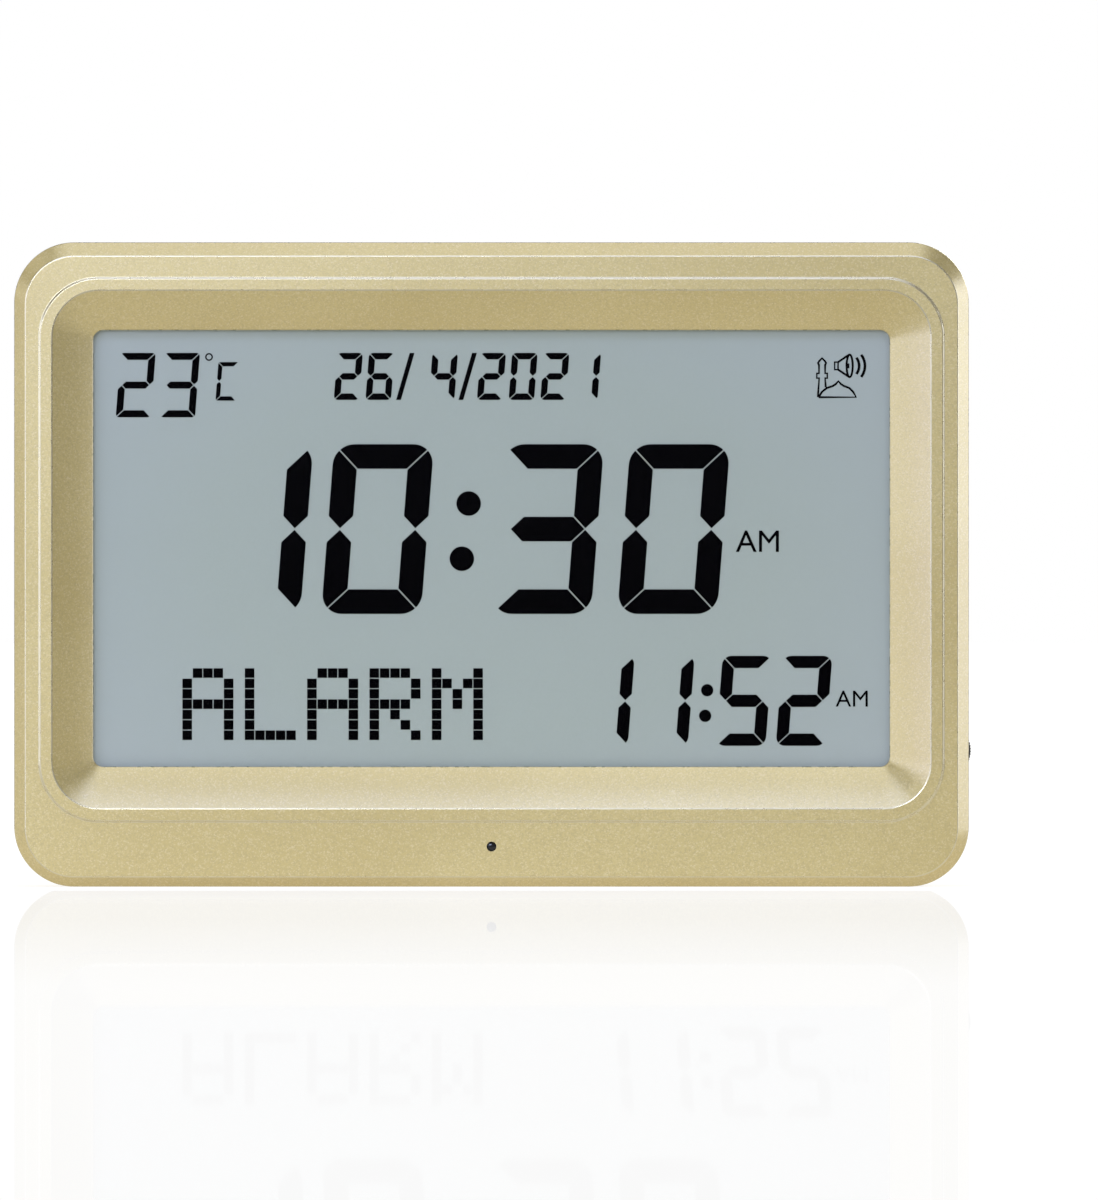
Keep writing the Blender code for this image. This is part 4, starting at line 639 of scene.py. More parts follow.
def duplicate(obj: Piece, name: str, matrix: Matrix) -> Piece:
    """A copy of an object with a mesh of its own, moved by a matrix.

    Args:
        obj: the object to copy.
        name: the copy's name.
        matrix: the move.

    Returns:
        The copy.
    """
    copy = obj.copy()
    copy.data = obj.data.copy()
    copy.name = name
    copy.data.name = name
    copy.data.transform(matrix)
    bpy.context.scene.collection.objects.link(copy)
    return copy


def rounded_face(name: str, x: tuple, y: float, z: tuple, radius: float, steps: int) -> Piece:
    """A flat rounded rectangle that faces the front, from a plane whose corners are bevelled.

    Args:
        name: the object's name.
        x: its left and right edge.
        y: its place in depth.
        z: its lower and upper edge.
        radius: its corners' radius.
        steps: the segments of each corner.

    Returns:
        The new object.
    """
    deselect()
    middle = ((x[0] + x[1]) / 2, y, (z[0] + z[1]) / 2)
    bpy.ops.mesh.primitive_plane_add(size=1, location=middle, rotation=(math.pi / 2, 0, 0))
    bpy.context.object.scale = (x[1] - x[0], z[1] - z[0], 1)
    obj = fix_place(name)
    if radius:
        with editing(obj):
            bpy.ops.mesh.bevel(offset=radius, segments=steps, profile=0.5, affect="VERTICES")
    return obj


def slab(name: str, x: tuple, y: tuple, z: tuple, radius: float = 0.0, steps: int = 10) -> Piece:
    """A rounded face drawn out backwards from its front to its rear.

    Args:
        name: the object's name.
        x: its left and right side.
        y: its front and rear.
        z: its lower and upper side.
        radius: its corners' radius.
        steps: the segments of each corner.

    Returns:
        The new object.
    """
    obj = rounded_face(name, x, y[0], z, radius, steps)
    with editing(obj):
        bpy.ops.mesh.extrude_region_move(TRANSFORM_OT_translate={"value": (0, y[1] - y[0], 0)})
    return close_up(obj)


def leaned(x: float, z: float, lean: float) -> Matrix:
    """The matrix that slants a shape and sets its lower left corner at x and z, in millimetres.

    Args:
        x: the corner's place to the right.
        z: its height.
        lean: how far it leans for each unit of height.

    Returns:
        The matrix.
    """
    slant = Matrix.Identity(4)
    slant[0][2] = lean
    return Matrix.Translation((x * MM, 0, z * MM)) @ slant


def turned(name: str, start: Vector, axis: Axis, profile: Sequence[tuple], sides: int = 48) -> Piece:
    """A round piece drawn out of a disc, ring after ring.

    Args:
        name: the object's name.
        start: the point on the axis that the profile's lengths count from.
        axis: the direction that the piece runs along.
        profile: the radius and the place along the axis of each ring.
        sides: how many sides each ring has.

    Returns:
        The new object.
    """
    deselect()
    radius, height = profile[0]
    turn = (math.pi / 2, 0, 0) if axis is Axis.Y else (0, math.pi / 2, 0)
    bpy.ops.mesh.primitive_circle_add(
        vertices=sides,
        radius=radius,
        fill_type="NGON",
        location=start + axis.along(height),
        rotation=turn,
    )
    obj = fix_place(name)
    with editing(obj):
        for next_radius, next_height in profile[1:]:
            step = axis.along(next_height - height)
            bpy.ops.mesh.extrude_region_move(TRANSFORM_OT_translate={"value": step})
            centre = start + axis.along(next_height)
            bpy.ops.transform.resize(value=axis.widen(next_radius / radius), center_override=centre)
            radius, height = next_radius, next_height
    return close_up(obj)


class SubAssembly:
    """What all sub-assemblies share: how a piece is dressed, carried and reported."""

    body = Body.CLOCK

    def deliver(
        self,
        obj: Piece,
        finish: Finish,
        slot: str,
        replaces: Sequence[str] = (),
        body: Optional[str] = None,
    ) -> Piece:
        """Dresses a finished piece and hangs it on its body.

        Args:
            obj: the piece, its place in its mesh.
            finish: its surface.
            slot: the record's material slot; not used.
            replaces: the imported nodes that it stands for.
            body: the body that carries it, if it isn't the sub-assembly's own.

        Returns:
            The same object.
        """
        if not obj.data.materials:
            obj.data.materials.append(finish.material())
        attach(obj, body or self.body.value)
        if replaces:
            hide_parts(*replaces)
        LOG.info("%s: %d faces", obj.name, len(obj.data.polygons))
        return obj

    def copy_node(self, node: str, name: str, width_mm: float = 0.0, segments: int = 2) -> Piece:
        """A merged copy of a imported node, its coplanar triangles joined and its edges rounded.

        Args:
            node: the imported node's name.
            name: the copy's name.
            width_mm: how wide its edges are rounded, or zero.
            segments: the segments of each rounded edge.

        Returns:
            The new object.
        """
        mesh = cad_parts[node].data.copy()
        mesh.name = name
        mesh.materials.clear()
        obj = bpy.data.objects.new(name, mesh)
        bpy.context.scene.collection.objects.link(obj)
        with editing(obj):
            if mesh.has_custom_normals:
                bpy.ops.mesh.customdata_custom_splitnormals_clear()
            bpy.ops.mesh.remove_doubles(threshold=MERGE)
            bpy.ops.mesh.dissolve_limited(angle_limit=COPLANAR)
        smooth(obj)
        if width_mm:
            soften(obj, width_mm, segments)
        return obj

    def dress_copy(
        self,
        node: str,
        name: str,
        finish: Finish,
        slot: str,
        width_mm: float,
        segments: int = 2,
        body: Optional[str] = None,
    ) -> None:
        """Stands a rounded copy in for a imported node.

        Args:
            node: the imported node's name.
            name: the copy's name.
            finish: its surface.
            slot: the record's material slot.
            width_mm: how wide its edges are rounded.
            segments: the segments of each rounded edge.
            body: the body that carries it, if it isn't the sub-assembly's own.
        """
        self.deliver(self.copy_node(node, name, width_mm, segments), finish, slot, [node], body)

    def repaint(self, finish: Finish, *nodes: str) -> None:
        """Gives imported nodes, whose own shape stays, a finish.

        Args:
            finish: the surface.
            *nodes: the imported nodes' names.
        """
        for node in nodes:
            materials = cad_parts[node].data.materials
            materials.clear()
            materials.append(finish.material())


@dataclass(frozen=True)
class RingPlace:
    """A rounded rectangle round the clock: margins inwards from the body's outline, radius and depth."""

    side: float
    top: float
    bottom: float
    radius: float
    depth: float


@dataclass
class FrontBezel(SubAssembly):
    """The moulded bezel: bevelled edge, low step, dished slope and the lip round the window."""

    bevel_margins: tuple = (3.3, 4.05, 2.85)
    bevel_radius: float = 14.2
    bevel_depth: float = 3.5
    body_radius: float = 17.6
    step_height: float = 0.4
    step_run: float = 0.3
    step_margins: tuple = (7.25, 10.35, 19.0)
    step_radius: float = 17.6
    slope_margins: tuple = (11.1, 14.1, 22.9)
    slope_radius: float = 13.8
    window_margins: tuple = (23.2, 25.8, 35.2)
    window_radius: float = 2.9
    dish_depth: float = 6.0
    lip_depth: float = 0.8
    lip_chamfer: float = 0.5
    lens_overlap: float = 3.3
    wall: float = 2.2
    seam_depth: float = 14.0
    tongue_gap: float = 0.3
    tongue_wall: float = 1.0
    tongue_length: float = 2.0
    corner_steps: int = 24
    ring_spacing: float = 60.0
    edge_width: float = 0.42
    edge_segments: int = 3
    edge_angle: float = 20.0
    sensor_hole: float = 2.9
    sensor_height: float = 11.8

    def even(self, inset: float, depth: float) -> RingPlace:
        """A ring with the same margin all round."""
        return RingPlace(inset, inset, inset, self.body_radius - inset, depth)

    def step(self, extra: float, depth: float) -> RingPlace:
        """The ring of the low step, or one a little inside it."""
        side, top, bottom = (margin + extra for margin in self.step_margins)
        return RingPlace(side, top, bottom, self.step_radius - extra, depth)

    def window(self, outward: float, depth: float) -> RingPlace:
        """The ring of the window, or one outside it."""
        side, top, bottom = (margin - outward for margin in self.window_margins)
        return RingPlace(side, top, bottom, self.window_radius + outward, depth)

    def rings(self) -> list:
        """The section from the seam over the front, down the dish and back along the inside.

        Returns:
            The rings, each bridged to the next and the last to the first.
        """
        outer = self.wall + self.tongue_gap
        inner = outer + self.tongue_wall
        ledge = self.dish_depth + self.lip_depth
        tongue = self.seam_depth + self.tongue_length
        run = self.window_margins[0] - self.slope_margins[0]
        slope_end = self.dish_depth * (1 - self.lip_chamfer / run)
        return [
            self.even(0, self.seam_depth),
            self.even(0, self.step_height + self.bevel_depth),
            RingPlace(*self.bevel_margins, self.bevel_radius, self.step_height),
            self.step(0, self.step_height),
            self.step(self.step_run, 0),
            RingPlace(*self.slope_margins, self.slope_radius, 0),
            self.window(self.lip_chamfer, slope_end),
            self.window(0, slope_end + self.lip_chamfer),
            self.window(0, ledge),
            self.window(self.lens_overlap, ledge),
            RingPlace(*self.slope_margins, self.slope_radius, self.wall),
            self.even(inner, self.step_height + self.wall),
            self.even(inner, tongue),
            self.even(outer, tongue),
            self.even(outer, self.seam_depth),
        ]

    def outline(self, ring: RingPlace, number: int) -> Piece:
        """One ring as a closed line, marked with its number for the bridging.

        Args:
            ring: its margins, radius and depth.
            number: its number in the section.

        Returns:
            The line, a mesh of edges.
        """
        low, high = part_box("front_bezel")
        x = (low.x + ring.side * MM, high.x - ring.side * MM)
        y = low.y + ring.depth * MM + self.lift(number)
        z = (low.z + ring.bottom * MM, high.z - ring.top * MM)
        obj = rounded_face(f"ring_{number}", x, y, z, ring.radius * MM, self.corner_steps)
        with editing(obj):
            bpy.ops.mesh.delete(type="ONLY_FACE")
        mark = obj.data.attributes.new("ring", "INT", "POINT")
        mark.data.foreach_set("value", [number] * len(obj.data.vertices))
        return obj

    def lift(self, number: int) -> float:
        """How far a ring stands behind its place while it is bridged, as rings in one plane would twist."""
        return number * self.ring_spacing * MM

    def lower(self, obj: Piece, number: int) -> None:
        """Moves a bridged ring to its place, in edit mode.

        Args:
            obj: the bezel.
            number: the ring's number.
        """
        layer = bmesh.from_edit_mesh(obj.data).verts.layers.int["ring"]
        choose(obj, "verts", lambda vertex: vertex[layer] == number)
        bpy.ops.transform.translate(value=(0, -self.lift(number), 0))

    def bridge(self, obj: Piece, first: int, second: int) -> None:
        """Draws the faces between two rings, in edit mode.

        Args:
            obj: the bezel.
            first: one ring's number.
            second: the other's.
        """

        def between(edge: bmesh.types.BMEdge) -> bool:
            """Says whether an edge lies on either ring."""
            return all(vertex[layer] in (first, second) for vertex in edge.verts)

        layer = bmesh.from_edit_mesh(obj.data).verts.layers.int["ring"]
        choose(obj, "edges", between)
        bpy.ops.mesh.bridge_edge_loops()

    def build(self) -> None:
        """Models the bezel, cuts its sensor hole and dresses it."""
        rings = self.rings()
        outlines = [self.outline(ring, number) for number, ring in enumerate(rings)]
        bezel = join("bezel_moulding", outlines)
        with editing(bezel):
            for number in range(len(rings)):
                self.bridge(bezel, number, (number + 1) % len(rings))
            for number in range(len(rings)):
                self.lower(bezel, number)
        close_up(bezel)
        # The rounded edges take the paler edge finish, a painted highlight along every edge
        finishes = (GOLD_LACQUER, GOLD_EDGE_HIGHLIGHT)
        for finish in finishes:
            bezel.data.materials.append(finish.material())
        edge = finishes.index(GOLD_EDGE_HIGHLIGHT)
        soften(bezel, self.edge_width, self.edge_segments, self.edge_angle, edge)
        low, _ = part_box("front_bezel")
        start = Vector((0, low.y, self.sensor_height * MM))
        radius = self.sensor_hole / 2 * MM
        bore = [(radius, -OVERRUN), (radius, self.wall * MM + OVERRUN)]
        combine(bezel, "DIFFERENCE", [turned("sensor_drill", start, Axis.Y, bore)])
        bezel.data.attributes.remove(bezel.data.attributes["ring"])
        smooth(bezel)
        self.deliver(bezel, GOLD_LACQUER, "gold_paint", ["front_bezel"])


@dataclass
class LightSensor(SubAssembly):
    """The dark resin window of the light sensor, domed at its front, in its small round hole."""

    window_radius: float = 1.15
    flange_thickness: float = 2.0
    dome_height: float = 0.18
    dome_shares: tuple = ((0.3, 0.0), (0.72, 0.35), (1.0, 1.0))

    def build(self) -> None:
        """Models the dome, the stem and the flange behind the bezel."""
        low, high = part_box("light_sensor")
        middle = (low + high) / 2
        flange = (high.x - low.x) / 2
        radius = self.window_radius * MM
        rear = high.y - low.y
        seat = rear - self.flange_thickness * MM
        dome = [(radius * wide, self.dome_height * deep * MM) for wide, deep in self.dome_shares]
        profile = [*dome, (radius, seat), (flange, seat), (flange, rear)]
        sensor = turned("sensor_window", Vector((middle.x, low.y, middle.z)), Axis.Y, profile)
        self.deliver(smooth(sensor), SENSOR_RESIN, "black_plastic", ["light_sensor"])


@dataclass(frozen=True)
class DigitStyle:
    """A slanted seven-segment digit, in millimetres."""

    width: float
    height: float
    stroke: float
    corner: float
    gap: float = 0.34
    slant: float = 0.077


class Segment(Enum):
    """The seven bars of a digit, clockwise from the top, and the one in the middle."""

    TOP = "a"
    UPPER_RIGHT = "b"
    LOWER_RIGHT = "c"
    BOTTOM = "d"
    LOWER_LEFT = "e"
    UPPER_LEFT = "f"
    MIDDLE = "g"


# Which bars are lit, by their letters, and which of a letter's dots are
LIT_BARS = {
    "0": "abcdef",
    "1": "bc",
    "2": "abged",
    "3": "abgcd",
    "4": "fgbc",
    "5": "afgcd",
    "6": "afgecd",
    "C": "afed",
}

DOT_LETTERS = {
    "A": (".###.", "#...#", "#...#", "#####", "#...#", "#...#", "#...#"),
    "L": ("#....", "#....", "#....", "#....", "#....", "#....", "#####"),
    "M": ("#...#", "##.##", "#.#.#", "#.#.#", "#...#", "#...#", "#...#"),
    "R": ("####.", "#...#", "#...#", "####.", "#.#..", "#..#.", "#...#"),
}


class DigitMaker:
    """Models the seven bars of a style once, and sets digits from copies of them."""

    def __init__(self, style: DigitStyle, y: float, thickness: float) -> None:
        """Keeps the style, the depth of the bars' front and their thickness.

        Args:
            style: the digit's measures.
            y: the depth of the bars' front.
            thickness: their thickness.
        """
        self.style = style
        self.y = y
        self.thickness = thickness
        self.shift = style.gap / math.sqrt(2)
        self.bars = {segment.value: self.bar(segment) for segment in Segment}

    def corner_bar(self, name: str) -> Piece:
        """The upper right bar: mitred at its top and pointed at its lower end.

        Args:
            name: the object's name.

        Returns:
            The bar, still flat, its cell's lower left corner at the origin.
        """
        style = self.style
        left = (style.width - style.stroke) * MM
        low = (style.height / 2 + style.stroke / 2 + self.shift) * MM
        high = (style.height - self.shift) * MM
        bar = rounded_face(name, (left, style.width * MM), self.y, (low, high), 0, 1)
        with editing(bar):
            choose(bar, "verts", lambda vertex: vertex.co.x < left + MERGE and vertex.co.z > high - MERGE)
            bpy.ops.transform.translate(value=(0, 0, -style.stroke * MM))
            choose(bar, "edges", lambda edge: all(vertex.co.z < low + MERGE for vertex in edge.verts))
            bpy.ops.mesh.subdivide(number_cuts=1)
            middle = left + style.stroke / 2 * MM
            choose(bar, "verts", lambda vertex: abs(vertex.co.x - middle) < MERGE)
            bpy.ops.transform.translate(value=(0, 0, -style.stroke / 2 * MM))
        return bar

    def level_bar(self, name: str) -> Piece:
        """The top bar, mitred at both ends.

        Args:
            name: the object's name.

        Returns:
            The bar, still flat, its cell's lower left corner at the origin.
        """
        style = self.style
        low = (style.height - style.stroke) * MM
        x = (self.shift * MM, (style.width - self.shift) * MM)
        bar = rounded_face(name, x, self.y, (low, style.height * MM), 0, 1)
        with editing(bar):
            choose(bar, "edges", lambda edge: all(vertex.co.z < low + MERGE for vertex in edge.verts))
            length = style.width - 2 * self.shift
            ratio = (length - 2 * style.stroke) / length
            centre = (style.width / 2 * MM, self.y, low)
            bpy.ops.transform.resize(value=(ratio, 1, 1), center_override=centre)
        return bar

    def middle_bar(self, name: str) -> Piece:
        """The middle bar, pointed at both ends.

        Args:
            name: the object's name.

        Returns:
            The bar, still flat, its cell's lower left corner at the origin.
        """
        style = self.style
        reach = style.stroke + self.shift
        x = (reach * MM, (style.width - reach) * MM)
        z = ((style.height - style.stroke) / 2 * MM, (style.height + style.stroke) / 2 * MM)
        bar = rounded_face(name, x, self.y, z, 0, 1)
        with editing(bar):
            for side, edge_x in ((-1, x[0]), (1, x[1])):
                choose(bar, "edges", lambda edge: all(abs(v.co.x - edge_x) < MERGE for v in edge.verts))
                bpy.ops.mesh.subdivide(number_cuts=1)
                middle = style.height / 2 * MM
                point = Vector((edge_x, self.y, middle))
                choose(bar, "verts", lambda vertex: (vertex.co - point).length < MERGE)
                bpy.ops.transform.translate(value=(side * style.stroke / 2 * MM, 0, 0))
        return bar

    def bar(self, segment: Segment) -> Piece:
        """One bar of the digit's cell, thick enough to be a solid, its outer corner rounded.

        Args:
            segment: which bar.

        Returns:
            The bar, its cell's lower left corner at the origin.
        """
        style = self.style
        name = f"bar_{segment.value}"
        mirror_x = segment in (Segment.UPPER_LEFT, Segment.LOWER_LEFT)
        mirror_z = segment in (Segment.BOTTOM, Segment.LOWER_LEFT, Segment.LOWER_RIGHT)
        if segment is Segment.MIDDLE:
            bar = self.middle_bar(name)
        elif segment in (Segment.TOP, Segment.BOTTOM):
            bar = self.level_bar(name)
        else:
            bar = self.corner_bar(name)
        if mirror_x:
            bar.data.transform(Matrix.Translation((style.width * MM, 0, 0)) @ Matrix.Diagonal((-1, 1, 1, 1)))
        if mirror_z:
            bar.data.transform(Matrix.Translation((0, 0, style.height * MM)) @ Matrix.Diagonal((1, 1, -1, 1)))
        with editing(bar):
            bpy.ops.mesh.extrude_region_move(TRANSFORM_OT_translate={"value": (0, self.thickness, 0)})
        close_up(bar)
        x = (0, style.width * MM)
        y = (self.y - self.thickness, self.y + 2 * self.thickness)
        cell = slab("cell", x, y, (0, style.height * MM), style.corner * MM)
        return combine(bar, "INTERSECT", [cell])

    def digit(self, character: str, x: float, z: float) -> list:
        """The lit bars of one digit, slanted, its cell's lower left corner at x and z in millimetres."""
        matrix = leaned(x, z, self.style.slant)
        return [duplicate(self.bars[bar], f"lit_{bar}", matrix) for bar in LIT_BARS[character]]

    def clear(self) -> None:
        """Removes the bars that the copies were made from."""
        for bar in self.bars.values():
            bpy.data.objects.remove(bar, do_unlink=True)


@dataclass(frozen=True)
class Stroke:
    """A line of the pictogram: its points and its width, in millimetres from the pictogram's corner."""

    points: tuple
    width: float = 0.62
    closed: bool = False
    roundness: int = 2

    @classmethod
    def arc(cls, centre: tuple, radii: tuple, start: float, end: float, steps: int, **rest) -> "Stroke":
        """A stroke along part of an ellipse.

        Args:
            centre: the ellipse's middle.
            radii: its half width and half height.
            start: the first point's angle in degrees, counted from the right.
            end: the last point's angle.
            steps: how many straight pieces it has.
            **rest: the stroke's other values.

        Returns:
            The stroke.
        """
        angles = [math.radians(start + (end - start) * i / steps) for i in range(steps + 1)]
        points = [(centre[0] + radii[0] * math.cos(a), centre[1] + radii[1] * math.sin(a)) for a in angles]
        return cls(tuple(points), **rest)

    def build(self, corner: tuple, y: float, thickness: float) -> Piece:
        """Draws the stroke as a flattened tube, its middle at this depth.

        Args:
            corner: the sign's lower left corner, in millimetres.
            y: the depth of its middle.
            thickness: how thick it is.

        Returns:
            The stroke, a mesh.
        """
        curve = bpy.data.curves.new("stroke", "CURVE")
        curve.dimensions = "3D"
        curve.bevel_depth = self.width / 2 * MM
        curve.bevel_resolution = self.roundness
        curve.fill_mode = "FULL"
        curve.use_fill_caps = True
        spline = curve.splines.new("POLY")
        spline.points.add(len(self.points) - 1)
        for point, (x, z) in zip(spline.points, self.points):
            point.co = ((corner[0] + x) * MM, y, (corner[1] + z) * MM, 1)
        spline.use_cyclic_u = self.closed
        obj = bpy.data.objects.new("stroke", curve)
        bpy.context.scene.collection.objects.link(obj)
        activate(obj)
        bpy.ops.object.convert(target="MESH")
        with editing(obj):
            flat = thickness / (self.width * MM)
            bpy.ops.transform.resize(value=(1, flat, 1), center_override=(0, y, 0))
        return close_up(obj)


# A plain sign for the call: a tower and a dome in outline, with a loudspeaker over them
TOWER_SIDE = ((0.0, 0.0), (0.35, 5.6), (-0.35, 5.6), (-0.35, 7.0), (0.3, 7.0), (0.3, 9.45), (0.0, 10.05))
TOWER_CAP = ((0.4, 10.65), (1.2, 11.45), (2.0, 10.65), (2.4, 10.05), (2.1, 9.45), (2.1, 7.0), (2.75, 7.0))
TOWER_FOOT = ((2.75, 5.6), (2.1, 5.6), (2.3, 2.9))
DOME_LEFT = ((0.2, 0.0), (1.2, 1.6), (2.6, 2.7), (4.4, 3.3), (5.3, 3.9), (6.0, 4.7))
DOME_RIGHT = ((6.7, 3.9), (7.6, 3.3), (9.2, 2.7), (10.3, 1.6), (11.2, 0.0), (0.2, 0.0))
WAVE_WIDTH = 0.8
COIL_WIDTH = 0.95
CALL_SIGN = (
    Stroke(TOWER_SIDE + TOWER_CAP + TOWER_FOOT),
    Stroke(DOME_LEFT + DOME_RIGHT),
    Stroke(((4.9, 8.1), (4.9, 10.3), (5.9, 10.3), (5.9, 8.1)), closed=True),
    Stroke(((5.9, 10.3), (9.2, 12.5))),
    Stroke(((5.9, 8.1), (9.2, 5.9))),
    Stroke.arc((9.3, 9.2), (0.9, 3.3), 0, 345, 23, closed=True),
    Stroke(((8.75, 8.5), (8.75, 9.9)), COIL_WIDTH),
    Stroke.arc((8.2, 9.2), (3.9, 3.9), -38, 38, 8, width=WAVE_WIDTH),
    Stroke.arc((8.5, 9.2), (5.3, 5.3), -38, 38, 10, width=WAVE_WIDTH),
)


@dataclass(frozen=True)
class ReadOut:
    """A number on the display: its digits' style and base line, each digit's left edge, and its dots."""

    style: DigitStyle
    base: float
    digits: tuple
    dots: tuple = ()
    dot_radius: float = 0.0


@dataclass(frozen=True)
class Plate:
    """A flat plate of the display: the node that it stands for, its corners, edges, finish and slot."""

    node: str
    name: str
    corner: float
    corner_steps: int
    edge: float
    finish: Finish
    slot: str


@dataclass
class Display(SubAssembly):
    """The lens, the glass with its film, and the segments that are switched on.

    Places are millimetres from the clock's middle and above its base.
    """

    film_gap: float = 0.04
    segment_thickness: float = 0.06
    plates: tuple = (
        Plate("display_lens", "lens_plate", 5.9, 10, 0.2, ACRYLIC, "clear_plastic"),
        Plate("lcd_front_glass", "display_film_glass", 0.6, 2, 0.12, POLARISER, "display_glass"),
    )
    time: ReadOut = ReadOut(
        style=DigitStyle(29.3, 49.8, 7.2, 6.0),
        base=80.0,
        digits=(("1", -85.4), ("0", -50.0), ("3", -0.1), ("0", 36.9)),
        dots=((-6.7, 112.4), (-8.7, 96.2)),
        dot_radius=3.6,
    )
    alarm: ReadOut = ReadOut(
        style=DigitStyle(14.6, 26.4, 3.6, 2.7, 0.28),
        base=41.3,
        digits=(("1", 25.4), ("1", 43.0), ("5", 65.8), ("2", 83.4)),
        dots=((63.3, 57.6), (62.7, 50.1)),
        dot_radius=1.8,
    )
    degrees: ReadOut = ReadOut(DigitStyle(10.3, 18.9, 2.05, 1.1, 0.26), 137.7, (("2", -110.3), ("3", -97.3)))
    degree_letter: ReadOut = ReadOut(DigitStyle(5.9, 11.3, 1.25, 0.6, 0.2), 142.6, (("C", -81.0),))
    degree_ring: tuple = (-82.9, 155.4, 1.15, 0.72)
    date_style: DigitStyle = DigitStyle(7.5, 13.8, 1.9, 1.3, 0.24)
    date_base: float = 142.8
    date_pitch: float = 9.3
    date_groups: tuple = ((-46.3, "26 4"), (-4.3, "2021"))
    date_strokes: tuple = (-28.0, -9.7)
    date_stroke_width: float = 1.4
    date_stroke_lean: float = 0.29
    word: str = "ALARM"
    word_left: float = -90.7
    word_base: float = 43.0
    dot_pitch: float = 3.04
    dot_size: float = 2.8
    letter_pitch: float = 18.3
    sign_corner: tuple = (95.8, 143.6)
    half_day: str = "AM"
    half_day_marks: tuple = ((71.7, 98.2, 6.3), (101.0, 52.8, 4.7))

    def __post_init__(self) -> None:
        """Finds the thickness of the segments and their depth, just in front of the glass."""
        low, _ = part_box("lcd_front_glass")
        self.segment_y = low.y - (self.film_gap + self.segment_thickness) * MM
        self.thick = self.segment_thickness * MM

    def build_plate(self, plate: Plate) -> None:
        """Models the lens or the glass, a rounded plate with small bevels, at its node's place.

        Args:
            plate: what is modelled.
        """
        low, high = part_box(plate.node)
        obj = slab(plate.name, *zip(low, high), plate.corner * MM, plate.corner_steps)
        self.deliver(soften(obj, plate.edge), plate.finish, plate.slot, [plate.node])

    def dot(self, x: float, z: float, radius: float) -> Piece:
        """A round dot at x and z, in millimetres."""
        start = Vector((x * MM, self.segment_y, z * MM))
        return turned("dot", start, Axis.Y, [(radius * MM, 0.0), (radius * MM, self.thick)])

    def ring(self, x: float, z: float, outer: float, inner: float) -> Piece:
        """A round ring at x and z, in millimetres.

        Args:
            x: its middle's place to the right.
            z: its middle's height.
            outer: its outer radius.
            inner: its hole's radius.

        Returns:
            The ring.
        """
        start = Vector((x * MM, self.segment_y, z * MM))
        hole = turned("hole", start, Axis.Y, [(inner * MM, -self.thick), (inner * MM, 2 * self.thick)])
        return combine(self.dot(x, z, outer), "DIFFERENCE", [hole])

    def block(self, name: str, width: float, height: float) -> Piece:
        """A small block as thick as a segment, its lower left corner at the origin, in millimetres."""
        y = (self.segment_y, self.segment_y + self.thick)
        return slab(name, (0, width * MM), y, (0, height * MM))

    def leaning_bar(self, x: float) -> Piece:
        """The slanted stroke between the date's numbers.

        Args:
            x: its lower left corner, in millimetres.

        Returns:
            The stroke.
        """
        bar = self.block("stroke", self.date_stroke_width, self.date_style.height)
        bar.data.transform(leaned(x, self.date_base, self.date_stroke_lean))
        return bar

    def digits(self, read_out: ReadOut) -> list:
        """The lit bars and the dots of one number.

        Args:
            read_out: the number.

        Returns:
            The pieces, not yet joined.
        """
        maker = DigitMaker(read_out.style, self.segment_y, self.thick)
        lit = [bar for character, x in read_out.digits for bar in maker.digit(character, x, read_out.base)]
        maker.clear()
        return lit + [self.dot(x, z, read_out.dot_radius) for x, z in read_out.dots]

    def light(self, name: str, pieces: Sequence[Piece]) -> None:
        """Joins the lit shapes of one read-out and dresses them."""
        self.deliver(join(name, pieces), SEGMENT_INK, "display_glass")

    def build_date(self) -> None:
        """Day, month and year, with the strokes between them."""
        places = tuple(
            (character, left + i * self.date_pitch)
            for left, characters in self.date_groups
            for i, character in enumerate(characters)
            if character in LIT_BARS
        )
        lit = self.digits(ReadOut(self.date_style, self.date_base, places))
        self.light("segments_date", lit + [self.leaning_bar(x) for x in self.date_strokes])

    def build_temperature(self) -> None:
        """The degrees, their letter and their ring."""
        lit = self.digits(self.degrees) + self.digits(self.degree_letter)
        self.light("segments_temperature", lit + [self.ring(*self.degree_ring)])

    def build_word(self) -> None:
        """A word in square dots, each letter five by seven."""
        cell = self.block("cell", self.dot_size, self.dot_size)
        lit = []
        for i, character in enumerate(self.word):
            for row, line in enumerate(reversed(DOT_LETTERS[character])):
                for column, mark in enumerate(line):
                    if mark == "#":
                        x = self.word_left + i * self.letter_pitch + column * self.dot_pitch
                        z = self.word_base + row * self.dot_pitch
                        lit.append(duplicate(cell, "dot", Matrix.Translation((x * MM, 0, z * MM))))
        self.light("dots_word", lit)
        bpy.data.objects.remove(cell, do_unlink=True)

    def build_half_day(self) -> None:
        """The plain letters beside both times."""
        lit = []
        for x, z, height in self.half_day_marks:
            deselect()
            bpy.ops.object.text_add()
            text = bpy.context.object
            text.data.body = self.half_day
            text.data.extrude = self.thick / 2
            bpy.ops.object.convert(target="MESH")
            mesh = text.data
            cap = max(vertex.co.y for vertex in mesh.vertices)
            left = min(vertex.co.x for vertex in mesh.vertices)
            ratio = height * MM / cap
            shrink = Matrix.Diagonal((ratio, ratio, 1, 1))
            stand = Matrix.Rotation(math.pi / 2, 4, "X")
            depth = self.segment_y + self.thick / 2
            spot = Matrix.Translation((x * MM - left * ratio, depth, z * MM))
            mesh.transform(spot @ stand @ shrink)
            lit.append(text)
        self.light("letters_half_day", lit)

    def build_sign(self) -> None:
        """The sign at the upper right."""
        middle = self.segment_y + self.thick / 2
        lit = [stroke.build(self.sign_corner, middle, self.thick) for stroke in CALL_SIGN]
        self.light("sign_call", lit)

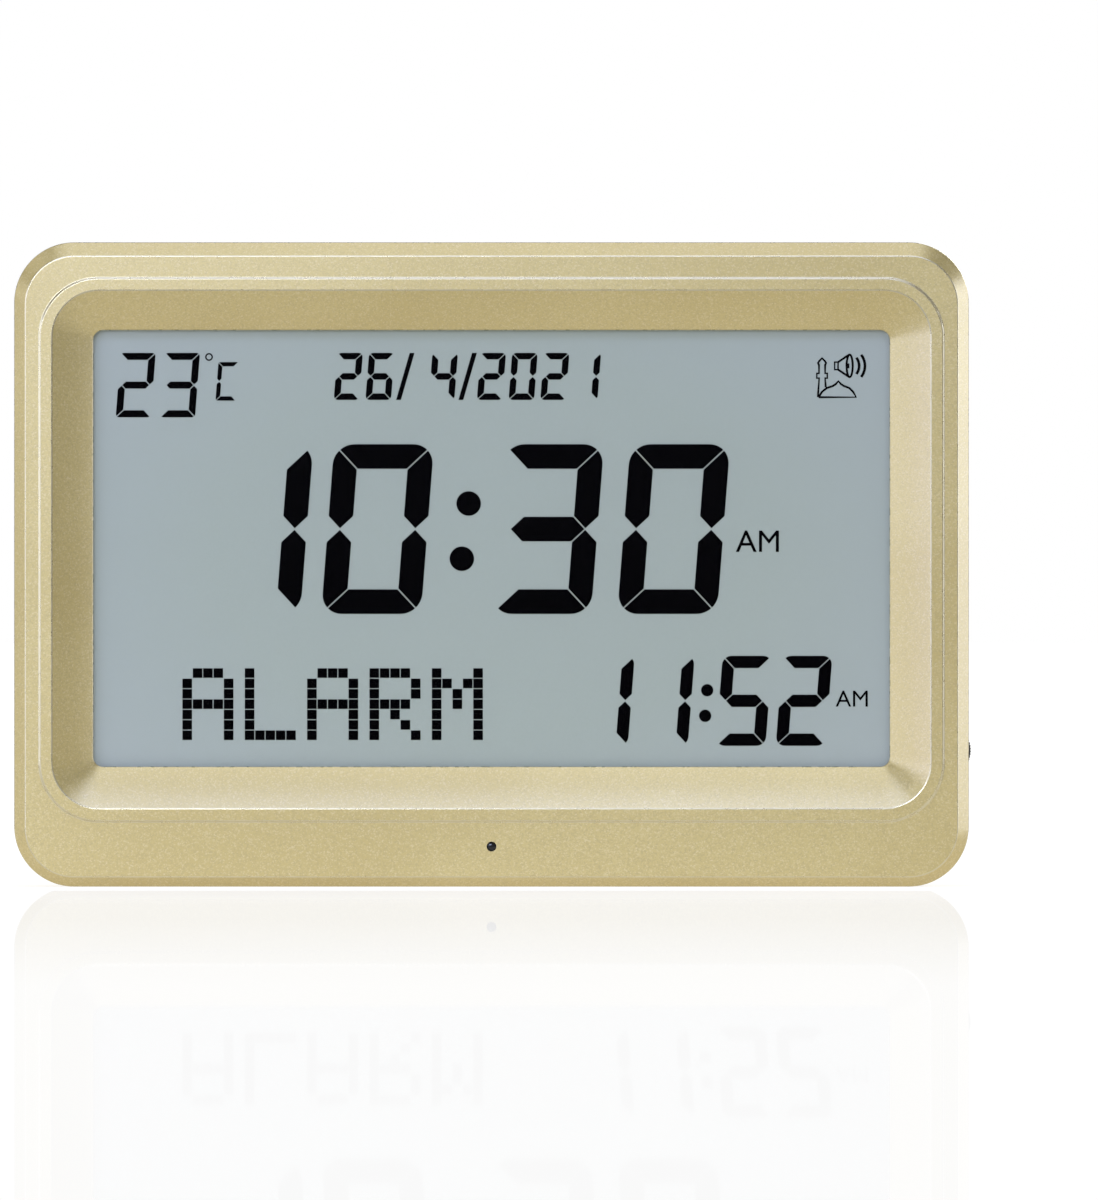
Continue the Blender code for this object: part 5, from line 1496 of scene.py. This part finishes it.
    def build(self) -> None:
        """Builds the lens, the glass and every read-out."""
        for plate in self.plates:
            self.build_plate(plate)
        self.light("segments_time", self.digits(self.time))
        self.light("segments_alarm", self.digits(self.alarm))
        self.build_date()
        self.build_temperature()
        self.build_word()
        self.build_half_day()
        self.build_sign()
        self.repaint(POLARISER, "lcd_rear_glass")
        self.repaint(LIGHT_GUIDE_ACRYLIC, "light_guide")
        self.repaint(WHITE_ABS, "reflector_sheet", "lamp_strip", "lcd_holder")
        self.repaint(SILICONE, "elastomer_strip_lower", "elastomer_strip_upper")


@dataclass
class RearCase(SubAssembly):
    """The rear cover with its screws."""

    screw_count: int = 6
    edge: float = 0.22
    screw_edge: float = 0.1

    def build(self) -> None:
        """Dresses the cover and the case screws."""
        self.dress_copy("rear_cover", "rear_moulding", GOLD_LACQUER, "gold_paint", self.edge)
        for i in range(1, self.screw_count + 1):
            node = f"case_screw_{i}"
            self.dress_copy(node, f"pan_head_screw_{i}", ZINC_SCREW_STEEL, "steel", self.screw_edge)


@dataclass
class StandFoot(SubAssembly):
    """The folding foot and its pin."""

    body = Body.STAND
    # The bevel stays under 0.01 mm on this shape whatever is set here, so the foot's edges look sharp
    edge: float = 0.3
    edge_segments: int = 3

    def build(self) -> None:
        """Dresses the foot on its hinge."""
        foot = ("stand_foot", "folding_foot")
        self.dress_copy(*foot, BLACK_ABS, "black_plastic", self.edge, self.edge_segments)
        self.repaint(NICKEL_STEEL, "stand_pin")


@dataclass
class BatteryHatch(SubAssembly):
    """The hatch over the cells."""

    body = Body.HATCH
    edge: float = 0.2

    def build(self) -> None:
        """Dresses the hatch with its hooks and its sprung tab."""
        self.dress_copy("battery_hatch", "hatch_moulding", GOLD_LACQUER, "gold_paint", self.edge)


@dataclass
class Cells(SubAssembly):
    """Three dry cells with their contacts."""

    count: int = 3
    band_share: float = 0.16
    edge: float = 0.25
    end_facing: float = 0.7

    def build_cell(self, number: int) -> None:
        """One cell, head to tail with its neighbour: film, band, and bare ends.

        Args:
            number: which cell.
        """
        node = f"battery_{number}"
        cell = self.copy_node(node, f"dry_cell_{number}", self.edge)
        low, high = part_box(node)
        finishes = (SHRINK_FILM, SHRINK_BAND, NICKEL_STEEL)
        for finish in finishes:
            cell.data.materials.append(finish.material())
        button_right = number % 2 == 1
        for face in cell.data.polygons:
            along = (face.center.x - low.x) / (high.x - low.x)
            share = along if button_right else 1 - along
            if abs(face.normal.x) > self.end_facing:
                face.material_index = finishes.index(NICKEL_STEEL)
            elif share > 1 - self.band_share:
                face.material_index = finishes.index(SHRINK_BAND)
        self.deliver(cell, SHRINK_FILM, "cell_jacket", [node])

    def build(self) -> None:
        """Builds the cells and dresses their contacts."""
        for number in range(1, self.count + 1):
            self.build_cell(number)
            self.repaint(NICKEL_STEEL, f"contact_plate_{number}", f"contact_spring_{number}")


@dataclass
class Keys(SubAssembly):
    """The rear keys and what they press."""

    count: int = 5
    edge: float = 0.15

    def build(self) -> None:
        """Dresses each cap on its own body, and the switches behind them."""
        for i in range(1, self.count + 1):
            cap = (f"key_cap_{i}", f"key_button_{i}")
            self.dress_copy(*cap, BLACK_ABS, "black_plastic", self.edge, body=f"key_{i}")
            self.repaint(BLACK_ABS, f"key_switch_{i}")
        self.repaint(LAMINATE, "key_board")


@dataclass
class VolumeWheel(SubAssembly):
    """The knurled thumbwheel at the right side, on its potentiometer."""

    teeth: int = 60
    sides_per_tooth: int = 4
    groove_sides: tuple = (0, 1)
    tooth_depth: float = 0.25
    # The bevel is held narrower than this on the knurled rim: 0.05 gives the same shape
    chamfer: float = 0.12
    chamfer_angle: float = 40.0
    bore_radius: float = 1.8
    body = Body.WHEEL

    def build(self) -> None:
        """Draws a disc out to the wheel's width, knurls its rim and bores it."""
        low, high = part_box("volume_wheel")
        middle = (low + high) / 2
        radius = (high.z - low.z) / 2
        width = high.y - low.y
        start = Vector((middle.x, low.y, middle.z))
        sides = self.sides_per_tooth * self.teeth
        wheel = turned("thumbwheel", start, Axis.Y, [(radius, 0.0), (radius, width)], sides)

        def in_groove(vertex: bmesh.types.BMVert) -> bool:
            """Says whether a point of the rim lies in a groove."""
            angle = math.atan2(vertex.co.z - middle.z, vertex.co.x - middle.x)
            return round(angle / (math.tau / sides)) % self.sides_per_tooth in self.groove_sides

        with editing(wheel):
            choose(wheel, "verts", in_groove)
            ratio = 1 - self.tooth_depth * MM / radius
            bpy.ops.transform.resize(value=(ratio, 1, ratio), center_override=middle)
        bore = [(self.bore_radius * MM, -OVERRUN), (self.bore_radius * MM, width + OVERRUN)]
        combine(wheel, "DIFFERENCE", [turned("bore", start, Axis.Y, bore)])
        soften(wheel, self.chamfer, angle=self.chamfer_angle)
        self.deliver(wheel, BLACK_ABS, "black_plastic", ["volume_wheel"])
        self.repaint(GREY_ABS, "volume_pot")
        self.repaint(LAMINATE, "volume_board")


@dataclass
class Electronics(SubAssembly):
    """The boards' parts and the speaker, which show only through the grille and vents."""

    def build(self) -> None:
        """Gives each inner part the surface of its material."""
        self.repaint(LAMINATE, "main_board")
        self.repaint(BLACK_ABS, "control_chip", "voice_chip", "temperature_probe")
        self.repaint(BLACK_ABS, "capacitor_1", "capacitor_2")
        self.repaint(NICKEL_STEEL, "crystal_can", "speaker_basket")
        self.repaint(SILICONE, "speaker_gasket")
        self.repaint(FERRITE, "speaker_magnet")
        self.repaint(PRESSED_PULP, "speaker_cone", "speaker_dust_cap")


@dataclass(frozen=True)
class Softbox:
    """A lamp behind a diffuser: place, width and height in metres, power in watts."""

    name: str
    place: tuple
    width: float
    height: float
    power: float
    colour: str = WHITE

    def build(self, aim: Vector) -> None:
        """Sets the lamp up, turned towards a point.

        Args:
            aim: the point.
        """
        lamp = bpy.data.lights.new(self.name, "AREA")
        lamp.shape = "RECTANGLE"
        lamp.size = self.width
        lamp.size_y = self.height
        lamp.energy = self.power
        lamp.color = linear(self.colour)[:3]
        obj = bpy.data.objects.new(self.name, lamp)
        obj.location = self.place
        obj.rotation_euler = (aim - Vector(self.place)).to_track_quat("-Z", "Y").to_euler()
        obj.visible_camera = False
        bpy.context.scene.collection.objects.link(obj)


@dataclass
class Studio:
    """The pale floor, the soft lamps and the camera."""

    lamps: tuple = (
        Softbox("key_softbox", (-0.39, -1.75, 0.56), 0.65, 0.39, 10.6, "#D2DDFF"),
        Softbox("left_front_softbox", (-0.9, -0.9, 0.12), 0.5, 0.7, 4.0, "#BDC7FF"),
        Softbox("left_softbox", (-1.1, -0.35, 0.1), 0.5, 0.8, 3.0, "#D2DDFF"),
        Softbox("left_strip", (-0.85, -0.05, 0.15), 0.12, 0.7, 0.4),
        Softbox("right_softbox", (0.85, -0.02, 0.15), 0.4, 0.7, 3.2, "#CED9FF"),
        Softbox("top_softbox", (0.0, -0.25, 1.1), 0.9, 0.4, 2.2, "#E4EBFF"),
        Softbox("high_front_softbox", (0.0, -0.8, 0.9), 0.9, 0.4, 4.2, "#B5C5FF"),
        Softbox("corner_softbox", (-0.75, 0.0, 0.85), 0.4, 0.4, 0.4),
        Softbox("rear_softbox", (0.6, 1.3, 0.55), 0.8, 0.5, 9.0),
    )
    room_level: float = 0.31
    horizon_level: float = 1.15
    horizon_start: float = 0.8
    horizon_end: float = 0.95
    backdrop: float = 1.0
    floor_size: float = 60.0
    floor_tones: tuple = ("#9A968A", "#9E9A8E")
    floor_cloud_mm: float = 120.0
    sheet_roughness: float = 0.9
    near_light: float = 0.64
    far_light: float = 0.05
    light_reach: float = 0.7
    near_glow: float = 0.79
    far_glow: float = 1.01
    glow_start: float = 0.1
    glow_end: float = 0.5
    rear_glow: float = 0.14
    rear_reach: float = 0.3
    mirror_start: float = 0.1
    mirror_full: float = 0.13
    mirror_hold: float = 0.9
    mirror_end: float = 2.3
    mirror_rest: float = 0.3
    floor_mirror: float = 0.2
    steep: float = 0.85
    grazing: float = 0.95
    floor_roughness: float = 0.01
    image_width: int = 1098
    image_height: int = 1200
    centre_pixel: tuple = (491.5, 564.5)
    pixel_mm: float = 0.2932
    lens_mm: float = 1000.0
    sensor_mm: float = 36.0

    def build_world(self) -> None:
        """A dim room, so that nothing mirrors in the lens, with a bright backdrop behind the clock."""
        world = bpy.data.worlds.new("white_room")
        bpy.context.scene.world = world
        world.use_nodes = True
        tree = world.node_tree
        way = add_node(tree, "TexCoord", "Generated")
        depth = add_node(tree, "SeparateXYZ", "Y", {0: way})
        span = {"From Min": self.horizon_start, "From Max": self.horizon_end}
        levels = {"To Min": self.room_level, "To Max": self.horizon_level}
        level = add_node(tree, "MapRange", 0, {"Value": depth, **span, **levels})
        seen = add_node(tree, "LightPath", "Is Camera Ray")
        strength = add_node(tree, "Mix", 0, {0: seen, 2: level, 3: self.backdrop}, data_type="FLOAT")
        fill(tree, tree.nodes["Background"], {"Color": linear(WHITE), "Strength": strength})

    def build_floor(self) -> None:
        """A wide white sheet, lit from below, whose polish mirrors the clock's foot at a glancing view."""
        deselect()
        bpy.ops.mesh.primitive_plane_add(size=self.floor_size)
        floor = fix_place("studio_floor")
        material = bpy.data.materials.new("white_acrylic_sheet")
        material.use_nodes = True
        tree = material.node_tree
        shader = tree.nodes["Principled BSDF"]
        place = add_node(tree, "TexCoord", "Object")
        outside = self.outside(tree, place)
        fill(tree, shader, self.sheet(tree, place, outside))
        mirror = {"Color": linear(WHITE), "Roughness": self.floor_roughness}
        gloss = add_node(tree, "BsdfGlossy", 0, mirror)
        shares = {0: self.polish(tree, outside), 1: shader.outputs[0], 2: gloss}
        mixed = add_node(tree, "MixShader", 0, shares)
        fill(tree, tree.nodes["Material Output"], {"Surface": mixed})
        floor.data.materials.append(material)

    def outside(self, tree: Tree, place: Socket) -> Socket:
        """The output that says how far a place is beside the clock, or before or behind it.

        Args:
            tree: the material's node tree.
            place: a point's place on the floor.

        Returns:
            The output, negative under the clock.
        """
        beyond = []
        for axis, reach in zip("XY", CAD_BOX[1]):
            part = add_node(tree, "SeparateXYZ", axis, {0: place})
            away = add_node(tree, "Math", 0, {0: part}, operation="ABSOLUTE")
            beyond.append(add_node(tree, "Math", 0, {0: away, 1: reach}, operation="SUBTRACT"))
        return add_node(tree, "Math", 0, dict(enumerate(beyond)), operation="MAXIMUM")

    def sheet(self, tree: Tree, place: Socket, outside: Socket) -> dict:
        """The shader's inputs for the sheet, whose own light is brighter to the camera than on the clock.

        Args:
            tree: the sheet's node tree.
            place: a point's place on the sheet.
            outside: how far the point is from the clock.

        Returns:
            A value or an output for each input.
        """
        cloud = add_node(tree, "TexNoise", "Fac", {"Vector": place, "Scale": per(self.floor_cloud_mm)})
        first, second = map(linear, self.floor_tones)
        tone = add_node(tree, "Mix", 2, {0: cloud, 6: first, 7: second}, data_type="RGBA")
        cast = {"From Max": self.light_reach, "To Min": self.near_light, "To Max": self.far_light}
        light = add_node(tree, "MapRange", 0, {"Value": outside, **cast})
        span = {"Value": outside, "From Min": self.glow_start, "From Max": self.glow_end}
        glow = add_node(tree, "MapRange", 0, {**span, "To Min": self.near_glow, "To Max": self.far_glow})
        depth = add_node(tree, "SeparateXYZ", "Y", {0: place})
        rear = {"Value": depth, "From Max": self.rear_reach, "To Max": self.rear_glow}
        behind = add_node(tree, "MapRange", 0, rear)
        glow = add_node(tree, "Math", 0, {0: glow, 1: behind}, operation="ADD")
        seen = add_node(tree, "LightPath", "Is Camera Ray")
        far = add_node(tree, "MapRange", 0, span)
        plain = add_node(tree, "Math", 0, {0: seen, 1: far}, operation="MULTIPLY")
        return {
            "Base Color": add_node(tree, "Mix", 2, {0: plain, 6: tone, 7: linear(BLACK)}, data_type="RGBA"),
            "Roughness": self.sheet_roughness,
            "Specular IOR Level": 0.0,
            "Emission Color": linear(WHITE),
            "Emission Strength": add_node(tree, "Mix", 0, {0: seen, 2: light, 3: glow}, data_type="FLOAT"),
        }

    def polish(self, tree: Tree, outside: Socket) -> Socket:
        """The mirror's share: none under the clock, full in front of it, less further out or seen steeply.

        Args:
            tree: the material's node tree.
            outside: how far the point is from the clock.

        Returns:
            The output, between none and the whole.
        """
        rise = {"From Min": self.mirror_start, "From Max": self.mirror_full, "To Max": self.floor_mirror}
        fade = {"From Min": self.mirror_hold, "From Max": self.mirror_end}
        fade |= {"To Min": 1.0, "To Max": self.mirror_rest}
        glance = {"From Min": self.steep, "From Max": self.grazing}
        facing = add_node(tree, "LayerWeight", "Facing")
        share = add_node(tree, "MapRange", 0, {"Value": outside, **rise})
        for value, span in ((outside, fade), (facing, glance)):
            factor = add_node(tree, "MapRange", 0, {"Value": value, **span})
            share = add_node(tree, "Math", 0, {0: share, 1: factor}, operation="MULTIPLY")
        return share

    def build_camera(self) -> None:
        """Dead in front of the clock's middle with a long lens, shifted to the photograph's framing."""
        low, high = CAD_BOX
        camera = bpy.data.cameras.new("camera")
        camera.lens = self.lens_mm
        camera.sensor_fit = "VERTICAL"
        camera.sensor_height = self.sensor_mm
        frame_height = self.image_height * self.pixel_mm * MM
        distance = frame_height * self.lens_mm / self.sensor_mm
        camera.shift_x = (self.image_width / 2 - self.centre_pixel[0]) / self.image_height
        camera.shift_y = (self.centre_pixel[1] - self.image_height / 2) / self.image_height
        obj = bpy.data.objects.new("camera", camera)
        obj.location = (0, low[1] - distance, (low[2] + high[2]) / 2)
        obj.rotation_euler = (math.pi / 2, 0, 0)
        bpy.context.scene.collection.objects.link(obj)
        bpy.context.scene.camera = obj

    def build(self) -> None:
        """Sets up the studio."""
        low, high = CAD_BOX
        aim = (Vector(low) + Vector(high)) / 2
        self.build_world()
        self.build_floor()
        for lamp in self.lamps:
            lamp.build(aim)
        self.build_camera()
        bpy.context.scene.view_settings.view_transform = "Standard"


def main() -> None:
    """Builds the studio and every sub-assembly, and reports each piece."""
    logging.basicConfig(level=logging.INFO, format="%(message)s")
    for part in (
        Studio(),
        FrontBezel(),
        LightSensor(),
        Display(),
        RearCase(),
        StandFoot(),
        BatteryHatch(),
        Cells(),
        Keys(),
        VolumeWheel(),
        Electronics(),
    ):
        LOG.info("building %s", type(part).__name__)
        part.build()
    deselect()


if __name__ == "__main__":
    main()
